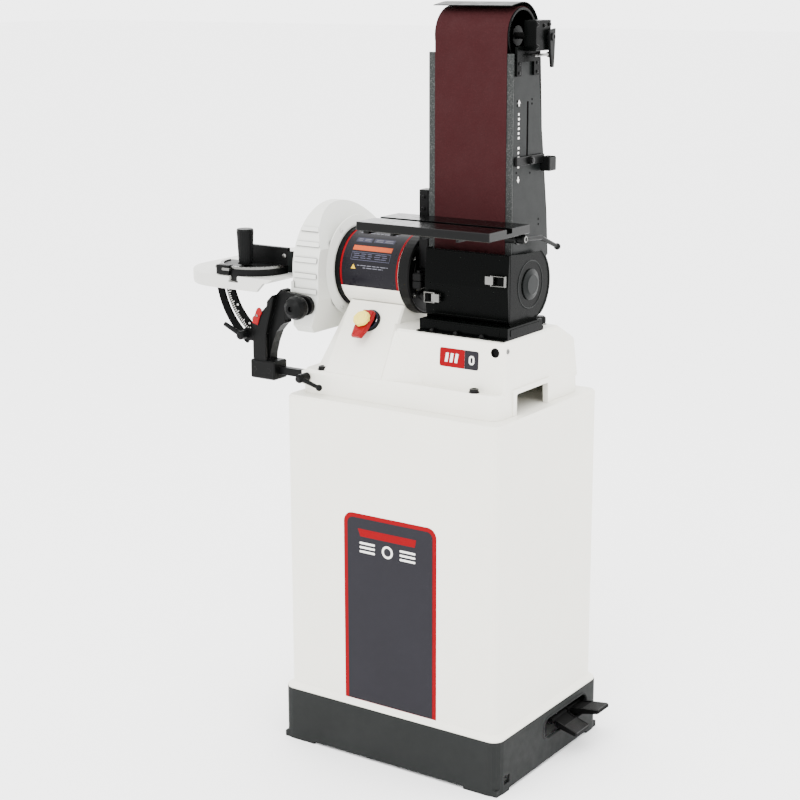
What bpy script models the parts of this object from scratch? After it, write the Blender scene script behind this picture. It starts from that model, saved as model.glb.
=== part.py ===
"""Belt disc sander on a closed stand: 6 x 48 in belt, 9 in disc.

Metres, +Z up.  X runs along the motor shaft (disc at -X, belt at +X), Y to the back.
Everything is laid out about the centre of the stand; at the end the whole machine is
moved so that the origin is the bottom centre of its box.
"""
from math import asin, cos, pi, radians, sin

import bmesh
import bpy
from mathutils import Matrix, Vector

# ---- driving dimensions -------------------------------------------------------------
GAP = 0.0003                      # between touching pieces
SHAFT_Z = 0.940
DRUM_R = 0.0508                   # 4 in drums
BELT_T = 0.0012
BELT_X = (0.0149, 0.0149 + 0.1524)
IDLER_Z = SHAFT_Z + 0.450         # 48 in belt round two 4 in drums
DISC_R = 0.1143                   # 9 in disc
DISC_FACE = -0.2668
PLINTH_HALF = (0.2513, 0.1976)
PLINTH_H = 0.1077
CABINET_HALF = (0.2396, 0.1880)
CABINET_TOP = 0.7115
BASE_X = (-0.2313, 0.2160)
BASE_Y = (-0.1532, 0.1589)
FLANGE_TOP = 0.757
BOX_TOP = 0.852
MOTOR_R = 0.0782
MOTOR_X = (-0.2029, -0.0281)
TABLE_TOP = 0.9305                # disc table
TABLE_X = (-0.5170, -0.2700)
TABLE_Y = 0.190
SLOT_X = -0.3615                  # miter slot and bar
TILT_X, TILT_Z = -0.272, 0.9305   # disc table tilts about its inner top edge
STUD_ANGLE = 54.0
BAR_Y = (-0.1445, -0.1295)
BAR_Z = (0.7355, 0.7505)
ARM_X = (0.0007, 0.1803)          # outer faces of the belt arm's side plates
PLATE_T = 0.002
PLATEN_FRONT = -DRUM_R + GAP
BELT_TABLE_X = (-0.0618, 0.2228)
BELT_TABLE_Y = (-0.1976, -0.0574)
BELT_TABLE_TOP = 1.0605
BELT_TABLE_T = 0.016
HINGE_Y, HINGE_Z = -0.066, 1.034  # belt table tilt axis
HOUSING_X = (0.0105, 0.1920)
HOUSING_R = 0.0718
PEDAL_TIP = 0.305
CENTRE_X = 0.1058                 # brings the middle of the overall box to x = 0

MATERIALS = {
    # name: (colour, roughness, metallic)
    "white_paint": ((0.78, 0.78, 0.75), 0.45, 0.0),
    "grey_plinth": ((0.075, 0.078, 0.077), 0.6, 0.0),
    "black_paint": ((0.014, 0.015, 0.016), 0.45, 0.0),
    "grey_paint": ((0.10, 0.105, 0.103), 0.5, 0.0),
    "black_plastic": ((0.02, 0.02, 0.021), 0.4, 0.0),
    "rubber": ((0.02, 0.02, 0.02), 0.8, 0.0),
    "table_alloy": ((0.72, 0.72, 0.70), 0.4, 0.6),
    "steel": ((0.55, 0.55, 0.54), 0.3, 1.0),
    "bright_steel": ((0.75, 0.75, 0.74), 0.18, 1.0),
    "copper": ((0.55, 0.22, 0.10), 0.4, 0.8),
    "abrasive": ((0.16, 0.035, 0.035), 0.9, 0.0),
    "red_plastic": ((0.60, 0.02, 0.025), 0.35, 0.0),
    "yellow_plastic": ((0.85, 0.66, 0.08), 0.35, 0.0),
}


# ---- tools ---------------------------------------------------------------------------
def clear_scene():
    for old in list(bpy.data.objects):
        bpy.data.objects.remove(old, do_unlink=True)


def material(name):
    found = bpy.data.materials.get(name)
    if found:
        return found
    colour, roughness, metallic = MATERIALS[name]
    new = bpy.data.materials.new(name)
    new.use_nodes = True
    shader = new.node_tree.nodes["Principled BSDF"]
    shader.inputs["Base Color"].default_value = (*colour, 1.0)
    shader.inputs["Roughness"].default_value = roughness
    shader.inputs["Metallic"].default_value = metallic
    new.diffuse_color = (*colour, 1.0)
    return new


def finish(name, bm, mat, pivot=(0.0, 0.0, 0.0)):
    """Make an object of a bmesh built in machine coordinates, with its origin at pivot."""
    bmesh.ops.remove_doubles(bm, verts=bm.verts, dist=1e-6)
    bmesh.ops.recalc_face_normals(bm, faces=bm.faces)
    bmesh.ops.translate(bm, verts=bm.verts, vec=-Vector(pivot))
    mesh = bpy.data.meshes.new(name)
    bm.to_mesh(mesh)
    bm.free()
    if mat:
        mesh.materials.append(material(mat))
    mesh.shade_smooth()
    mesh.set_sharp_from_angle(angle=radians(32))
    obj = bpy.data.objects.new(name, mesh)
    obj.location = pivot
    bpy.context.scene.collection.objects.link(obj)
    return obj


def place(point, axis, along):
    """A 2D outline point, put in the plane across the axis: X -> (y, z), Y -> (x, z)."""
    a, b = point
    if axis == "X":
        return (along, a, b)
    if axis == "Y":
        return (a, along, b)
    return (a, b, along)


def add_prism(bm, outline, axis, low, high):
    rings = [[bm.verts.new(place(p, axis, at)) for p in outline] for at in (low, high)]
    bm.faces.new(rings[0])
    bm.faces.new(rings[1])
    count = len(outline)
    for i in range(count):
        j = (i + 1) % count
        bm.faces.new((rings[0][i], rings[0][j], rings[1][j], rings[1][i]))


def prism(name, mat, outline, axis, low, high, pivot=(0, 0, 0), bevel=0.0):
    bm = bmesh.new()
    add_prism(bm, outline, axis, low, high)
    soften(bm, bevel)
    return finish(name, bm, mat, pivot)


def soften(bm, width):
    """Chamfer the edges that turn by more than about 40 degrees."""
    if not width:
        return
    bmesh.ops.recalc_face_normals(bm, faces=bm.faces)
    edges = [e for e in bm.edges if e.is_manifold and e.calc_face_angle(0.0) > radians(40)]
    bmesh.ops.bevel(bm, geom=edges, offset=width, segments=1, affect="EDGES", clamp_overlap=True)


def box(name, mat, x, y, z, pivot=(0, 0, 0), bevel=0.0):
    outline = [(x[0], y[0]), (x[1], y[0]), (x[1], y[1]), (x[0], y[1])]
    return prism(name, mat, outline, "Z", z[0], z[1], pivot, bevel)


def hull(name, mat, points, pivot=(0, 0, 0), bevel=0.0):
    bm = bmesh.new()
    for point in points:
        bm.verts.new(point)
    result = bmesh.ops.convex_hull(bm, input=bm.verts)
    loose = [v for v in result["geom_interior"] if isinstance(v, bmesh.types.BMVert)]
    bmesh.ops.delete(bm, geom=loose, context="VERTS")
    flat = [e for e in bm.edges if e.is_manifold and e.calc_face_angle(0.0) < radians(1)]
    bmesh.ops.dissolve_edges(bm, edges=flat, use_verts=False)
    soften(bm, bevel)
    return finish(name, bm, mat, pivot)


def add_turned(bm, profile, start, direction, steps):
    """Turn a closed (along, radius) profile about the line from start along direction."""
    turn = Vector((0, 0, 1)).rotation_difference(Vector(direction)).to_matrix().to_4x4()
    spot = Matrix.Translation(start) @ turn
    rings = []
    for along, radius in profile:
        if radius < 1e-9:
            rings.append([bm.verts.new(spot @ Vector((0, 0, along)))] * steps)
            continue
        ring = []
        for i in range(steps):
            angle = 2 * pi * i / steps
            point = Vector((radius * cos(angle), radius * sin(angle), along))
            ring.append(bm.verts.new(spot @ point))
        rings.append(ring)
    for k, ring in enumerate(rings):
        after = rings[(k + 1) % len(rings)]
        for i in range(steps):
            j = (i + 1) % steps
            corners = []
            for vert in (ring[i], ring[j], after[j], after[i]):
                if vert not in corners:
                    corners.append(vert)
            if len(corners) > 2:
                bm.faces.new(corners)


def turned(name, mat, profile, start, direction, steps=32, pivot=None):
    bm = bmesh.new()
    add_turned(bm, profile, start, direction, steps)
    return finish(name, bm, mat, start if pivot is None else pivot)


def rod(name, mat, start, end, radius, end_radius=None, steps=16, pivot=None):
    length = (Vector(end) - Vector(start)).length
    profile = [(0, 0), (0, radius), (length, radius if end_radius is None else end_radius), (length, 0)]
    return turned(name, mat, profile, start, Vector(end) - Vector(start), steps, pivot)


def ball(name, centre, radius, direction, steps=16, bands=8):
    """A ball turned about a direction, as an operand for fuse."""
    rows = [-pi / 2 + pi * k / bands for k in range(bands + 1)]
    profile = [(radius * sin(a), radius * cos(a) if 0 < k < bands else 0.0) for k, a in enumerate(rows)]
    return turned(name, None, profile, centre, direction, steps)


def rounded(half_x, half_y, radius, centre=(0, 0), steps=4):
    points = []
    for k, (sx, sy) in enumerate(((1, 1), (-1, 1), (-1, -1), (1, -1))):
        for i in range(steps + 1):
            angle = pi / 2 * (k + i / steps)
            x = centre[0] + sx * (half_x - radius) + radius * cos(angle)
            y = centre[1] + sy * (half_y - radius) + radius * sin(angle)
            points.append((x, y))
    return points


def arc(centre, radius, start, end, steps):
    """Points of an arc; angles in degrees from the first axis towards the second."""
    angles = [radians(start + (end - start) * i / steps) for i in range(steps + 1)]
    return [(centre[0] + radius * cos(a), centre[1] + radius * sin(a)) for a in angles]


def sector(centre, inner, outer, start, end, steps):
    return arc(centre, outer, start, end, steps) + arc(centre, inner, end, start, steps)


def levels(*rings):
    """Points for a hull from (outline, z) pairs."""
    return [(x, y, z) for outline, z in rings for x, y in outline]


def combine(target, operation, tools):
    for tool in tools:
        tool.hide_render = True
        tool.display_type = "WIRE"
        step = target.modifiers.new(operation.lower(), "BOOLEAN")
        step.operation = operation
        step.solver = "EXACT"
        step.object = tool
    return target


def cut(target, *tools):
    return combine(target, "DIFFERENCE", tools)


def fuse(target, *tools):
    return combine(target, "UNION", tools)


# ---- stand ---------------------------------------------------------------------------
def build_stand():
    hx, hy = PLINTH_HALF
    wall = 0.005
    plinth = prism("plinth", "grey_plinth", rounded(hx, hy, 0.022), "Z", 0.0, PLINTH_H)
    hollow = prism("c_plinth", None, rounded(hx - wall, hy - wall, 0.017), "Z", -0.01, PLINTH_H - wall)
    pads = [box(f"c_foot_{k}", None,
                (sx * (hx - 0.002) - 0.024 * (1 + sx), sx * (hx - 0.002) + 0.024 * (1 - sx)),
                (sy * (hy - 0.002) - 0.024 * (1 + sy), sy * (hy - 0.002) + 0.024 * (1 - sy)), (0.0, 0.012))
            for k, (sx, sy) in enumerate(((1, 1), (-1, 1), (-1, -1), (1, -1)))]
    cut(plinth, hollow)
    fuse(plinth, *pads)
    cut(plinth,
        box("c_toe_x", None, (-hx + 0.075, hx - 0.075), (-0.3, 0.3), (-0.01, 0.005)),
        box("c_toe_y", None, (-0.3, 0.3), (-hy + 0.045, hy - 0.045), (-0.01, 0.005)),
        prism("c_pedals", None, rounded(0.0855, 0.021, 0.020, (0.0635, 0.071)), "X", 0.24, 0.26),
        box("c_slot", None, (0.24, 0.26), (-0.172, -0.152), (0.017, 0.034)))

    cx, cy = CABINET_HALF
    low = PLINTH_H + GAP
    lip_top = low + 0.009
    skin = 0.002
    cabinet = hull("cabinet", "white_paint", levels(
        (rounded(cx, cy, 0.016), lip_top), (rounded(cx, cy, 0.016), CABINET_TOP - 0.004),
        (rounded(cx - 0.004, cy - 0.004, 0.013), CABINET_TOP)))
    lip = hull("c_lip", None, levels(
        (rounded(hx - 0.001, hy - 0.001, 0.021), low),
        (rounded(hx - 0.001, hy - 0.001, 0.021), low + 0.004),
        (rounded(cx, cy, 0.016), lip_top + 0.002)))
    fuse(cabinet, lip)
    cut(cabinet,
        prism("c_cabinet", None, rounded(cx - skin, cy - skin, 0.014), "Z", low - 0.01,
              CABINET_TOP - 0.003),
        box("c_rear", None, (-0.170, 0.170), (cy - 0.02, cy + 0.02), (0.180, 0.620)),
        box("c_top", None, (-0.150, 0.120), (-0.080, 0.080), (CABINET_TOP - 0.02, CABINET_TOP + 0.02)))
    box("cabinet_rear_panel", "white_paint", (-0.178, 0.178), (cy + GAP, cy + 0.0025), (0.172, 0.628))


def build_mobile_base():
    wheel_z, wheel_r, wheel_x, rail_y = 0.0350, 0.0225, 0.150, 0.095
    frame = prism("caster_frame", "black_paint", rounded(0.170, 0.105, 0.008, steps=2), "Z", 0.068, 0.074)
    lugs = []
    for k, (sx, sy) in enumerate(((1, 1), (-1, 1), (-1, -1), (1, -1))):
        lugs.append(box(f"c_lug_{k}", None, (sx * wheel_x - 0.009, sx * wheel_x + 0.009),
                        (sy * rail_y - 0.005, sy * rail_y + 0.005), (0.026, 0.070)))
    fuse(frame, *lugs)
    cut(frame, prism("c_frame", None, rounded(0.135, 0.080, 0.006, steps=2), "Z", 0.05, 0.1))
    for side, name in ((-1, "wheelset_left"), (1, "wheelset_right")):
        x = side * wheel_x
        cut(frame, rod(f"c_axle_{name}", None, (x, -0.12, wheel_z), (x, 0.12, wheel_z), 0.0053))
        profile = [(-0.125, 0), (-0.125, wheel_r), (-0.107, wheel_r), (-0.107, 0.005),
                   (0.107, 0.005), (0.107, wheel_r), (0.125, wheel_r), (0.125, 0)]
        turned(name, "rubber", profile, (x, 0, wheel_z), (0, 1, 0), 24)

    pivot_x, pivot_z = 0.2360, 0.0680
    for name, y, tip in (("lift_pedal", (0.098, 0.142), (PEDAL_TIP, 0.078)),
                         ("release_pedal", (0.034, 0.084), (0.292, 0.050))):
        dx, dz = tip[0] - pivot_x, tip[1] - pivot_z
        length = (dx * dx + dz * dz) ** 0.5
        up = (-dz / length * 0.003, dx / length * 0.003)
        outline = [(pivot_x + up[0], pivot_z + up[1]), (pivot_x - up[0], pivot_z - up[1]),
                   (tip[0] - up[0], tip[1] - up[1]), (tip[0] + up[0] * 0.2, tip[1] + up[1])]
        mid = (y[0] + y[1]) / 2
        pedal = prism(name, "rubber", outline, "Y", y[0], y[1], (pivot_x, mid, pivot_z))
        fuse(pedal, rod(f"c_{name}", None, (pivot_x, y[0] - 0.004, pivot_z),
                        (pivot_x, y[1] + 0.004, pivot_z), 0.0055, steps=12))


# ---- base casting --------------------------------------------------------------------
SWITCH_AT = Vector((-0.115, -0.0794, 0.8500))
SLOPE = Vector((0, -0.796, 0.605)).normalized()     # outward from the sloping front
LEVER_AT = (-0.2120, 0.7430)                        # base lock lever stud, x and z


def build_base():
    cx = (BASE_X[0] + BASE_X[1]) / 2
    cy = (BASE_Y[0] + BASE_Y[1]) / 2
    hx = (BASE_X[1] - BASE_X[0]) / 2
    hy = (BASE_Y[1] - BASE_Y[0]) / 2
    low = CABINET_TOP + GAP

    def flange_ring(inset, z):
        return rounded(hx - inset, hy - inset, 0.024 - inset, (cx, cy)), z

    base = hull("base_casting", "white_paint", levels(
        flange_ring(0.0, low), flange_ring(0.0015, FLANGE_TOP - 0.006), flange_ring(0.006, FLANGE_TOP)))

    def slab(x, y, z):
        return [(a, b, z) for a in x for b in y]

    body = hull("c_body", None, slab((-0.0310, 0.2145), (-0.1245, 0.1525), 0.740)
                + slab((-0.0310, 0.2105), (-0.1180, 0.0780), BOX_TOP)
                + [(-0.0310, 0.1400, 0.8188), (0.2120, 0.1400, 0.8188)], bevel=0.004)
    facet = hull("c_facet", None, [(-0.041, -0.1505, 0.752), (0.0375, -0.1235, 0.752),
                                   (-0.0293, -0.1190, 0.849),
                                   (-0.058, -0.078, 0.8515), (-0.058, 0.012, 0.753), (0.0420, 0.012, 0.753),
                                   (-0.0100, 0.012, 0.8485), (-0.058, 0.012, 0.8505)])
    pedestal = hull("c_pedestal", None, slab((-0.178, -0.053), (-0.052, 0.052), 0.886)
                    + slab((-0.172, -0.041), (-0.1510, 0.1510), 0.755)
                    + slab((-0.2125, -0.041), (-0.1200, 0.1200), 0.755), bevel=0.003)
    rim = prism("c_rim", None, rounded(0.0695, 0.040, 0.006, (-0.029, 0.7205)), "X", 0.205, 0.2178)
    guide = box("c_guide", None, (-0.228, -0.165), (-0.1500, -0.1180), (0.7260, 0.7530))
    fuse(base, body, facet, pedestal, rim)

    cut(base,
        hull("c_in_flange", None, levels((rounded(hx - 0.008, hy - 0.008, 0.014, (cx, cy)), low - 0.02),
                                         (rounded(hx - 0.010, hy - 0.010, 0.012, (cx, cy)),
                                          FLANGE_TOP - 0.008))),
        hull("c_in_body", None, slab((-0.020, 0.2065), (-0.1165, 0.1440), 0.735)
             + slab((-0.020, 0.2025), (-0.1100, 0.0720), BOX_TOP - 0.008)
             + [(-0.020, 0.1320, 0.8150), (0.2040, 0.1320, 0.8150)]),
        hull("c_in_pedestal", None, slab((-0.166, -0.045), (-0.040, 0.040), 0.850)
             + slab((-0.200, -0.030), (-0.1250, 0.1250), 0.735)))
    fuse(base, guide)
    motor_axis = ((-0.30, 0, SHAFT_Z), (-0.02, 0, SHAFT_Z))
    inner = SWITCH_AT - SLOPE * 0.03
    outer = SWITCH_AT + SLOPE * 0.03
    cut(base,
        rod("c_saddle", None, *motor_axis, MOTOR_R + 0.0005, steps=64),
        box("c_trim", None, (-0.24, 0.24), (-0.2, 0.2), (low - 0.05, low)),
        prism("c_notch", None, rounded(0.0575, 0.036, 0.004, (-0.029, 0.7155)), "X", 0.19, 0.23),
        box("c_bar", None, (-0.25, -0.115), (BAR_Y[0] - GAP, BAR_Y[1] + GAP),
            (BAR_Z[0] - GAP, BAR_Z[1] + GAP)),
        rod("c_stud", None, (LEVER_AT[0], -0.17, LEVER_AT[1]), (LEVER_AT[0], -0.14, LEVER_AT[1]), 0.0045),
        rod("c_hole", None, (0.190, -0.15, 0.831), (0.190, -0.10, 0.831), 0.009, steps=20),
        rod("c_switch", None, inner, outer, 0.0193, steps=24))

    y = -0.1760
    lever = turned("base_lock_lever", "black_plastic",
                   [(0, 0), (0, 0.0085), (0.026, 0.0085), (0.0300, 0.0062), (0.0300, 0)],
                   (LEVER_AT[0], -0.1545, LEVER_AT[1]), (0, -1, 0), 20)
    tip = (LEVER_AT[0] + 0.0445, y, LEVER_AT[1] - 0.0125)
    fuse(lever,
         rod("c_bl_stud", None, (LEVER_AT[0], -0.160, LEVER_AT[1]),
             (LEVER_AT[0], BAR_Y[0] - GAP, LEVER_AT[1]), 0.004),
         rod("c_bl_rod", None, (LEVER_AT[0], y, LEVER_AT[1]), tip, 0.0048, 0.0038, 12),
         ball("c_bl_ball", tip, 0.0066, (1, 0, -0.28), 14, 7))

    bezel = [(-0.012, 0), (-0.012, 0.019), (GAP, 0.019), (GAP, 0.0228), (0.0050, 0.0228), (0.0065, 0.0210),
             (0.0065, 0.0175), (0.0020, 0.0165), (0.0020, 0)]
    turned("switch_bezel", "black_plastic", bezel, SWITCH_AT, SLOPE, 32)
    build_switch_paddle()


def build_switch_paddle():
    """A red stop paddle hinged at the top of the bezel, with a yellow safety key in it."""
    up = Vector((0, SLOPE.z, -SLOPE.y))
    side = Vector((1, 0, 0))

    def at(across, along, out):
        return SWITCH_AT + side * across + up * along + SLOPE * out

    hinge = at(0, 0.0125, 0.0090)
    low, high, thick = -0.047, 0.0155, 0.0095
    points = []
    for along, out, half in ((high, 0.0085, 0.0125), (0.000, 0.0095, 0.0155), (-0.028, 0.0150, 0.0155),
                             (low, 0.0190, 0.0115)):
        for across in (-half, half):
            points.append(at(across, along, out))
            points.append(at(across * 0.86, along, out + thick))
    paddle = hull("switch_paddle", "red_plastic", points, hinge, 0.0012)
    centre = at(0, -0.0100, 0.0233)
    tilt = (SLOPE + up * 0.180).normalized()
    cut(paddle, rod("c_key_hole", None, centre - tilt * 0.02, centre + tilt * 0.01, 0.0044, steps=12))
    profile = [(-0.0070, 0), (-0.0070, 0.0040), (0, 0.0040), (0, 0.0140), (0.0030, 0.0155),
               (0.0080, 0.0155), (0.0110, 0.0140), (0.0110, 0)]
    turned("switch_key", "yellow_plastic", profile, centre, tilt, 18)


# ---- motor ---------------------------------------------------------------------------
def build_motor():
    x0, x1 = MOTOR_X
    axis = (0, 0, SHAFT_Z)
    along = (1, 0, 0)
    left = [(x0, 0.0210), (x0, 0.0745), (x0 + 0.003, MOTOR_R), (x0 + 0.0145, MOTOR_R),
            (x0 + 0.0145, 0.0700),
            (x0 + 0.0075, 0.0700), (x0 + 0.0075, 0.0260), (x0 + 0.0150, 0.0260), (x0 + 0.0150, 0.0210)]
    turned("motor_bell_left", "black_paint", left, axis, along, 48)
    right = [(x1 - 0.0232, 0.0700), (x1 - 0.0232, MOTOR_R), (x1 - 0.0025, MOTOR_R), (x1, 0.0755),
             (x1 - 0.0015, 0.0735),
             (x1 - 0.0015, 0.0320), (-0.0020, 0.0320), (-0.0020, 0.0115), (-0.0340, 0.0115),
             (-0.0340, 0.0210),
             (-0.0460, 0.0210), (-0.0460, 0.0260), (x1 - 0.0100, 0.0260), (x1 - 0.0100, 0.0700)]
    turned("motor_bell_right", "black_paint", right, axis, along, 48)
    tube = [(x0 + 0.0148, 0.0715), (x0 + 0.0148, 0.0765), (x1 - 0.0235, 0.0765), (x1 - 0.0235, 0.0715)]
    turned("motor_housing", "white_paint", tube, axis, along, 48)
    stator = [(-0.162, 0.0470), (-0.162, 0.0712), (-0.072, 0.0712), (-0.072, 0.0470)]
    turned("stator_core", "copper", stator, axis, along, 32)
    rotor = [(-0.160, 0.0093), (-0.160, 0.0462), (-0.074, 0.0462), (-0.074, 0.0093)]
    turned("rotor_core", "steel", rotor, axis, along, 24)
    for name, a, b in (("bearing_left", x0 + 0.0005, x0 + 0.0125), ("bearing_right", -0.0455, -0.0345)):
        turned(name, "bright_steel", [(a, 0.0093), (a, 0.0207), (b, 0.0207), (b, 0.0093)], axis, along, 24)
    shaft = [(-0.2555, 0), (-0.2555, 0.0088), (-0.2540, 0.0090), (0.1860, 0.0090), (0.1875, 0.0075),
             (0.1875, 0)]
    turned("motor_shaft", "steel", shaft, axis, along, 20)


# ---- disc side -----------------------------------------------------------------------
def build_disc():
    axis = (0, 0, SHAFT_Z)
    along = (1, 0, 0)
    back = DISC_FACE + 0.0013
    plate = [(back, 0), (back, DISC_R), (back + 0.0105, DISC_R), (back + 0.0105, 0.0240), (-0.2140, 0.0240),
             (-0.2140, 0.0093), (-0.2560, 0.0093), (-0.2560, 0)]
    turned("disc_plate", "table_alloy", plate, axis, along, 64)
    turned("disc_abrasive", "abrasive",
           [(DISC_FACE, 0), (DISC_FACE, DISC_R), (back - GAP, DISC_R), (back - GAP, 0)],
           axis, along, 64)


def build_guard():
    radius, rear, front = 0.1260, -0.2035, -0.2650
    bottom = 0.8200
    centre = (0, SHAFT_Z)
    outline = arc(centre, radius, 0, 180, 32) + [(-radius, bottom + 0.014), (-radius + 0.014, bottom),
                                                 (radius - 0.014, bottom), (radius, bottom + 0.014)]
    guard = prism("disc_guard", "white_paint", outline, "X", front, rear)
    hollow = arc(centre, 0.1200, 0, 180, 32) + [(-0.1200, bottom + 0.018), (-0.1080, bottom + 0.0035),
                                                     (0.1080, bottom + 0.0035), (0.1200, bottom + 0.018)]
    ribs = []
    for k, angle in enumerate((39.0, 25.0, 11.0)):
        points = sector(centre, radius - 0.003, radius + 0.0026, 180 - angle - 1.9, 180 - angle + 1.9, 2)
        ribs.append(prism(f"c_rib_{k}", None, points, "X", front + 0.004, -0.2075))
    for k, z in enumerate((0.9340, 0.9040)):
        ribs.append(box(f"c_bar_{k}", None, (front + 0.004, -0.2075), (-radius - 0.0026, -radius + 0.003),
                        (z - 0.0042, z + 0.0042)))
    tab = box("c_tab", None, (front - 0.0022, front + 0.004), (-0.1286, -0.1180), (0.8950, 0.9205))
    fuse(guard, *ribs, tab)
    slope = [(-0.2035, 0.985), (-0.2450, 1.0665), (-0.2450, 1.09), (-0.19, 1.09), (-0.19, 0.985)]
    toe = [(-0.2035, 0.888), (-0.2290, 0.810), (-0.19, 0.810), (-0.19, 0.888)]
    inner_slope = [(-0.2090, 0.93), (-0.2090, 0.985), (-0.2505, 1.0665), (-0.2505, 1.09), (-0.28, 1.09),
                   (-0.28, 0.80), (-0.2345, 0.80), (-0.2090, 0.880)]
    cavity = prism("c_cavity", None, hollow, "X", -0.28, -0.2080)
    limit = prism("c_limit", None, inner_slope, "Y", -0.2, 0.2)
    combine(cavity, "INTERSECT", [limit])
    ring = turned("c_cone", None, [(-0.2050, 0.0300), (-0.2050, 0.1000), (-0.2035, 0.1000),
                                   (-0.1985, 0.0840),
                                   (-0.1985, 0.0795), (-0.2035, 0.0790), (-0.2035, 0.0300)],
                  (0, 0, SHAFT_Z), (1, 0, 0), 48)
    cut(guard, prism("c_slope", None, slope, "Y", -0.2, 0.2), prism("c_toe", None, toe, "Y", -0.2, 0.2),
        cavity)
    fuse(guard, ring)
    cut(guard, rod("c_hub", None, (-0.24, 0, SHAFT_Z), (-0.19, 0, SHAFT_Z), 0.0320, steps=32))


def tilt_point(radius, angle):
    """A point of the tilt quadrant, angle measured down from the table towards the disc."""
    return (TILT_X - radius * cos(radians(angle)), TILT_Z - radius * sin(radians(angle)))


def tilt_sector(inner, outer, start, end, steps):
    out = [tilt_point(outer, start + (end - start) * i / steps) for i in range(steps + 1)]
    back = [tilt_point(inner, end + (start - end) * i / steps) for i in range(steps + 1)]
    return out + back


def build_disc_table():
    x0, x1 = TABLE_X
    bottom, under = 0.9040, TABLE_TOP - 0.008
    big = 0.100

    def outline(inset):
        left = arc((x0 + big, TABLE_Y - big), big - inset, 90, 180, 10)
        right = arc((x0 + big, big - TABLE_Y), big - inset, 180, 270, 10)
        return left + right + [(x1 - 0.003, -TABLE_Y + inset), (x1, -TABLE_Y + inset + 0.003),
                               (x1, TABLE_Y - inset - 0.003), (x1 - 0.003, TABLE_Y - inset)]

    table = hull("disc_table", "table_alloy",
                 levels((outline(0.0015), bottom), (outline(0.0), bottom + 0.006),
                                                     (outline(0.0), TABLE_TOP - 0.0015),
                                                     (outline(0.0015), TABLE_TOP)))
    inner = [(p[0] + (0.02 if p[0] > x1 - 0.01 else 0), p[1]) for p in outline(0.009)]
    wedge = [(-0.3060, bottom - 0.01), (-0.3060, bottom), (-0.2880, under), (-0.2810, under),
             (-0.2695, 0.9290), (-0.26, 0.9290), (-0.26, bottom - 0.01)]
    cut(table, prism("c_under", None, inner, "Z", bottom - 0.01, under),
        prism("c_wedge", None, wedge, "Y", -0.2, 0.2))
    fuse(table, box("c_rib", None, (SLOT_X - 0.018, SLOT_X + 0.018), (-TABLE_Y + 0.004, TABLE_Y - 0.004),
                    (0.9155, under + 0.001)))
    cut(table, box("c_slot_a", None, (SLOT_X - 0.0098, SLOT_X + 0.0098), (-0.2, 0.2), (0.9203, 0.94)),
        box("c_slot_b", None, (SLOT_X - 0.0120, SLOT_X + 0.0120), (-0.2, 0.2), (0.9178, 0.9222)))

    plate_y = (-0.1510, -0.1450)
    quadrant = prism("tilt_quadrant", "black_paint", tilt_sector(0.125, 0.1665, 1.5, 57.0, 22), "Y",
                     *plate_y,
                     (TILT_X, -0.148, TILT_Z))
    cut(quadrant, prism("c_arc", None, tilt_sector(0.1440, 0.1520, 7.0, 55.8, 18), "Y", -0.16, -0.14),
        box("c_flat", None, (-0.5, -0.3), (-0.2, -0.1), (under - GAP, 0.95)))


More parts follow.
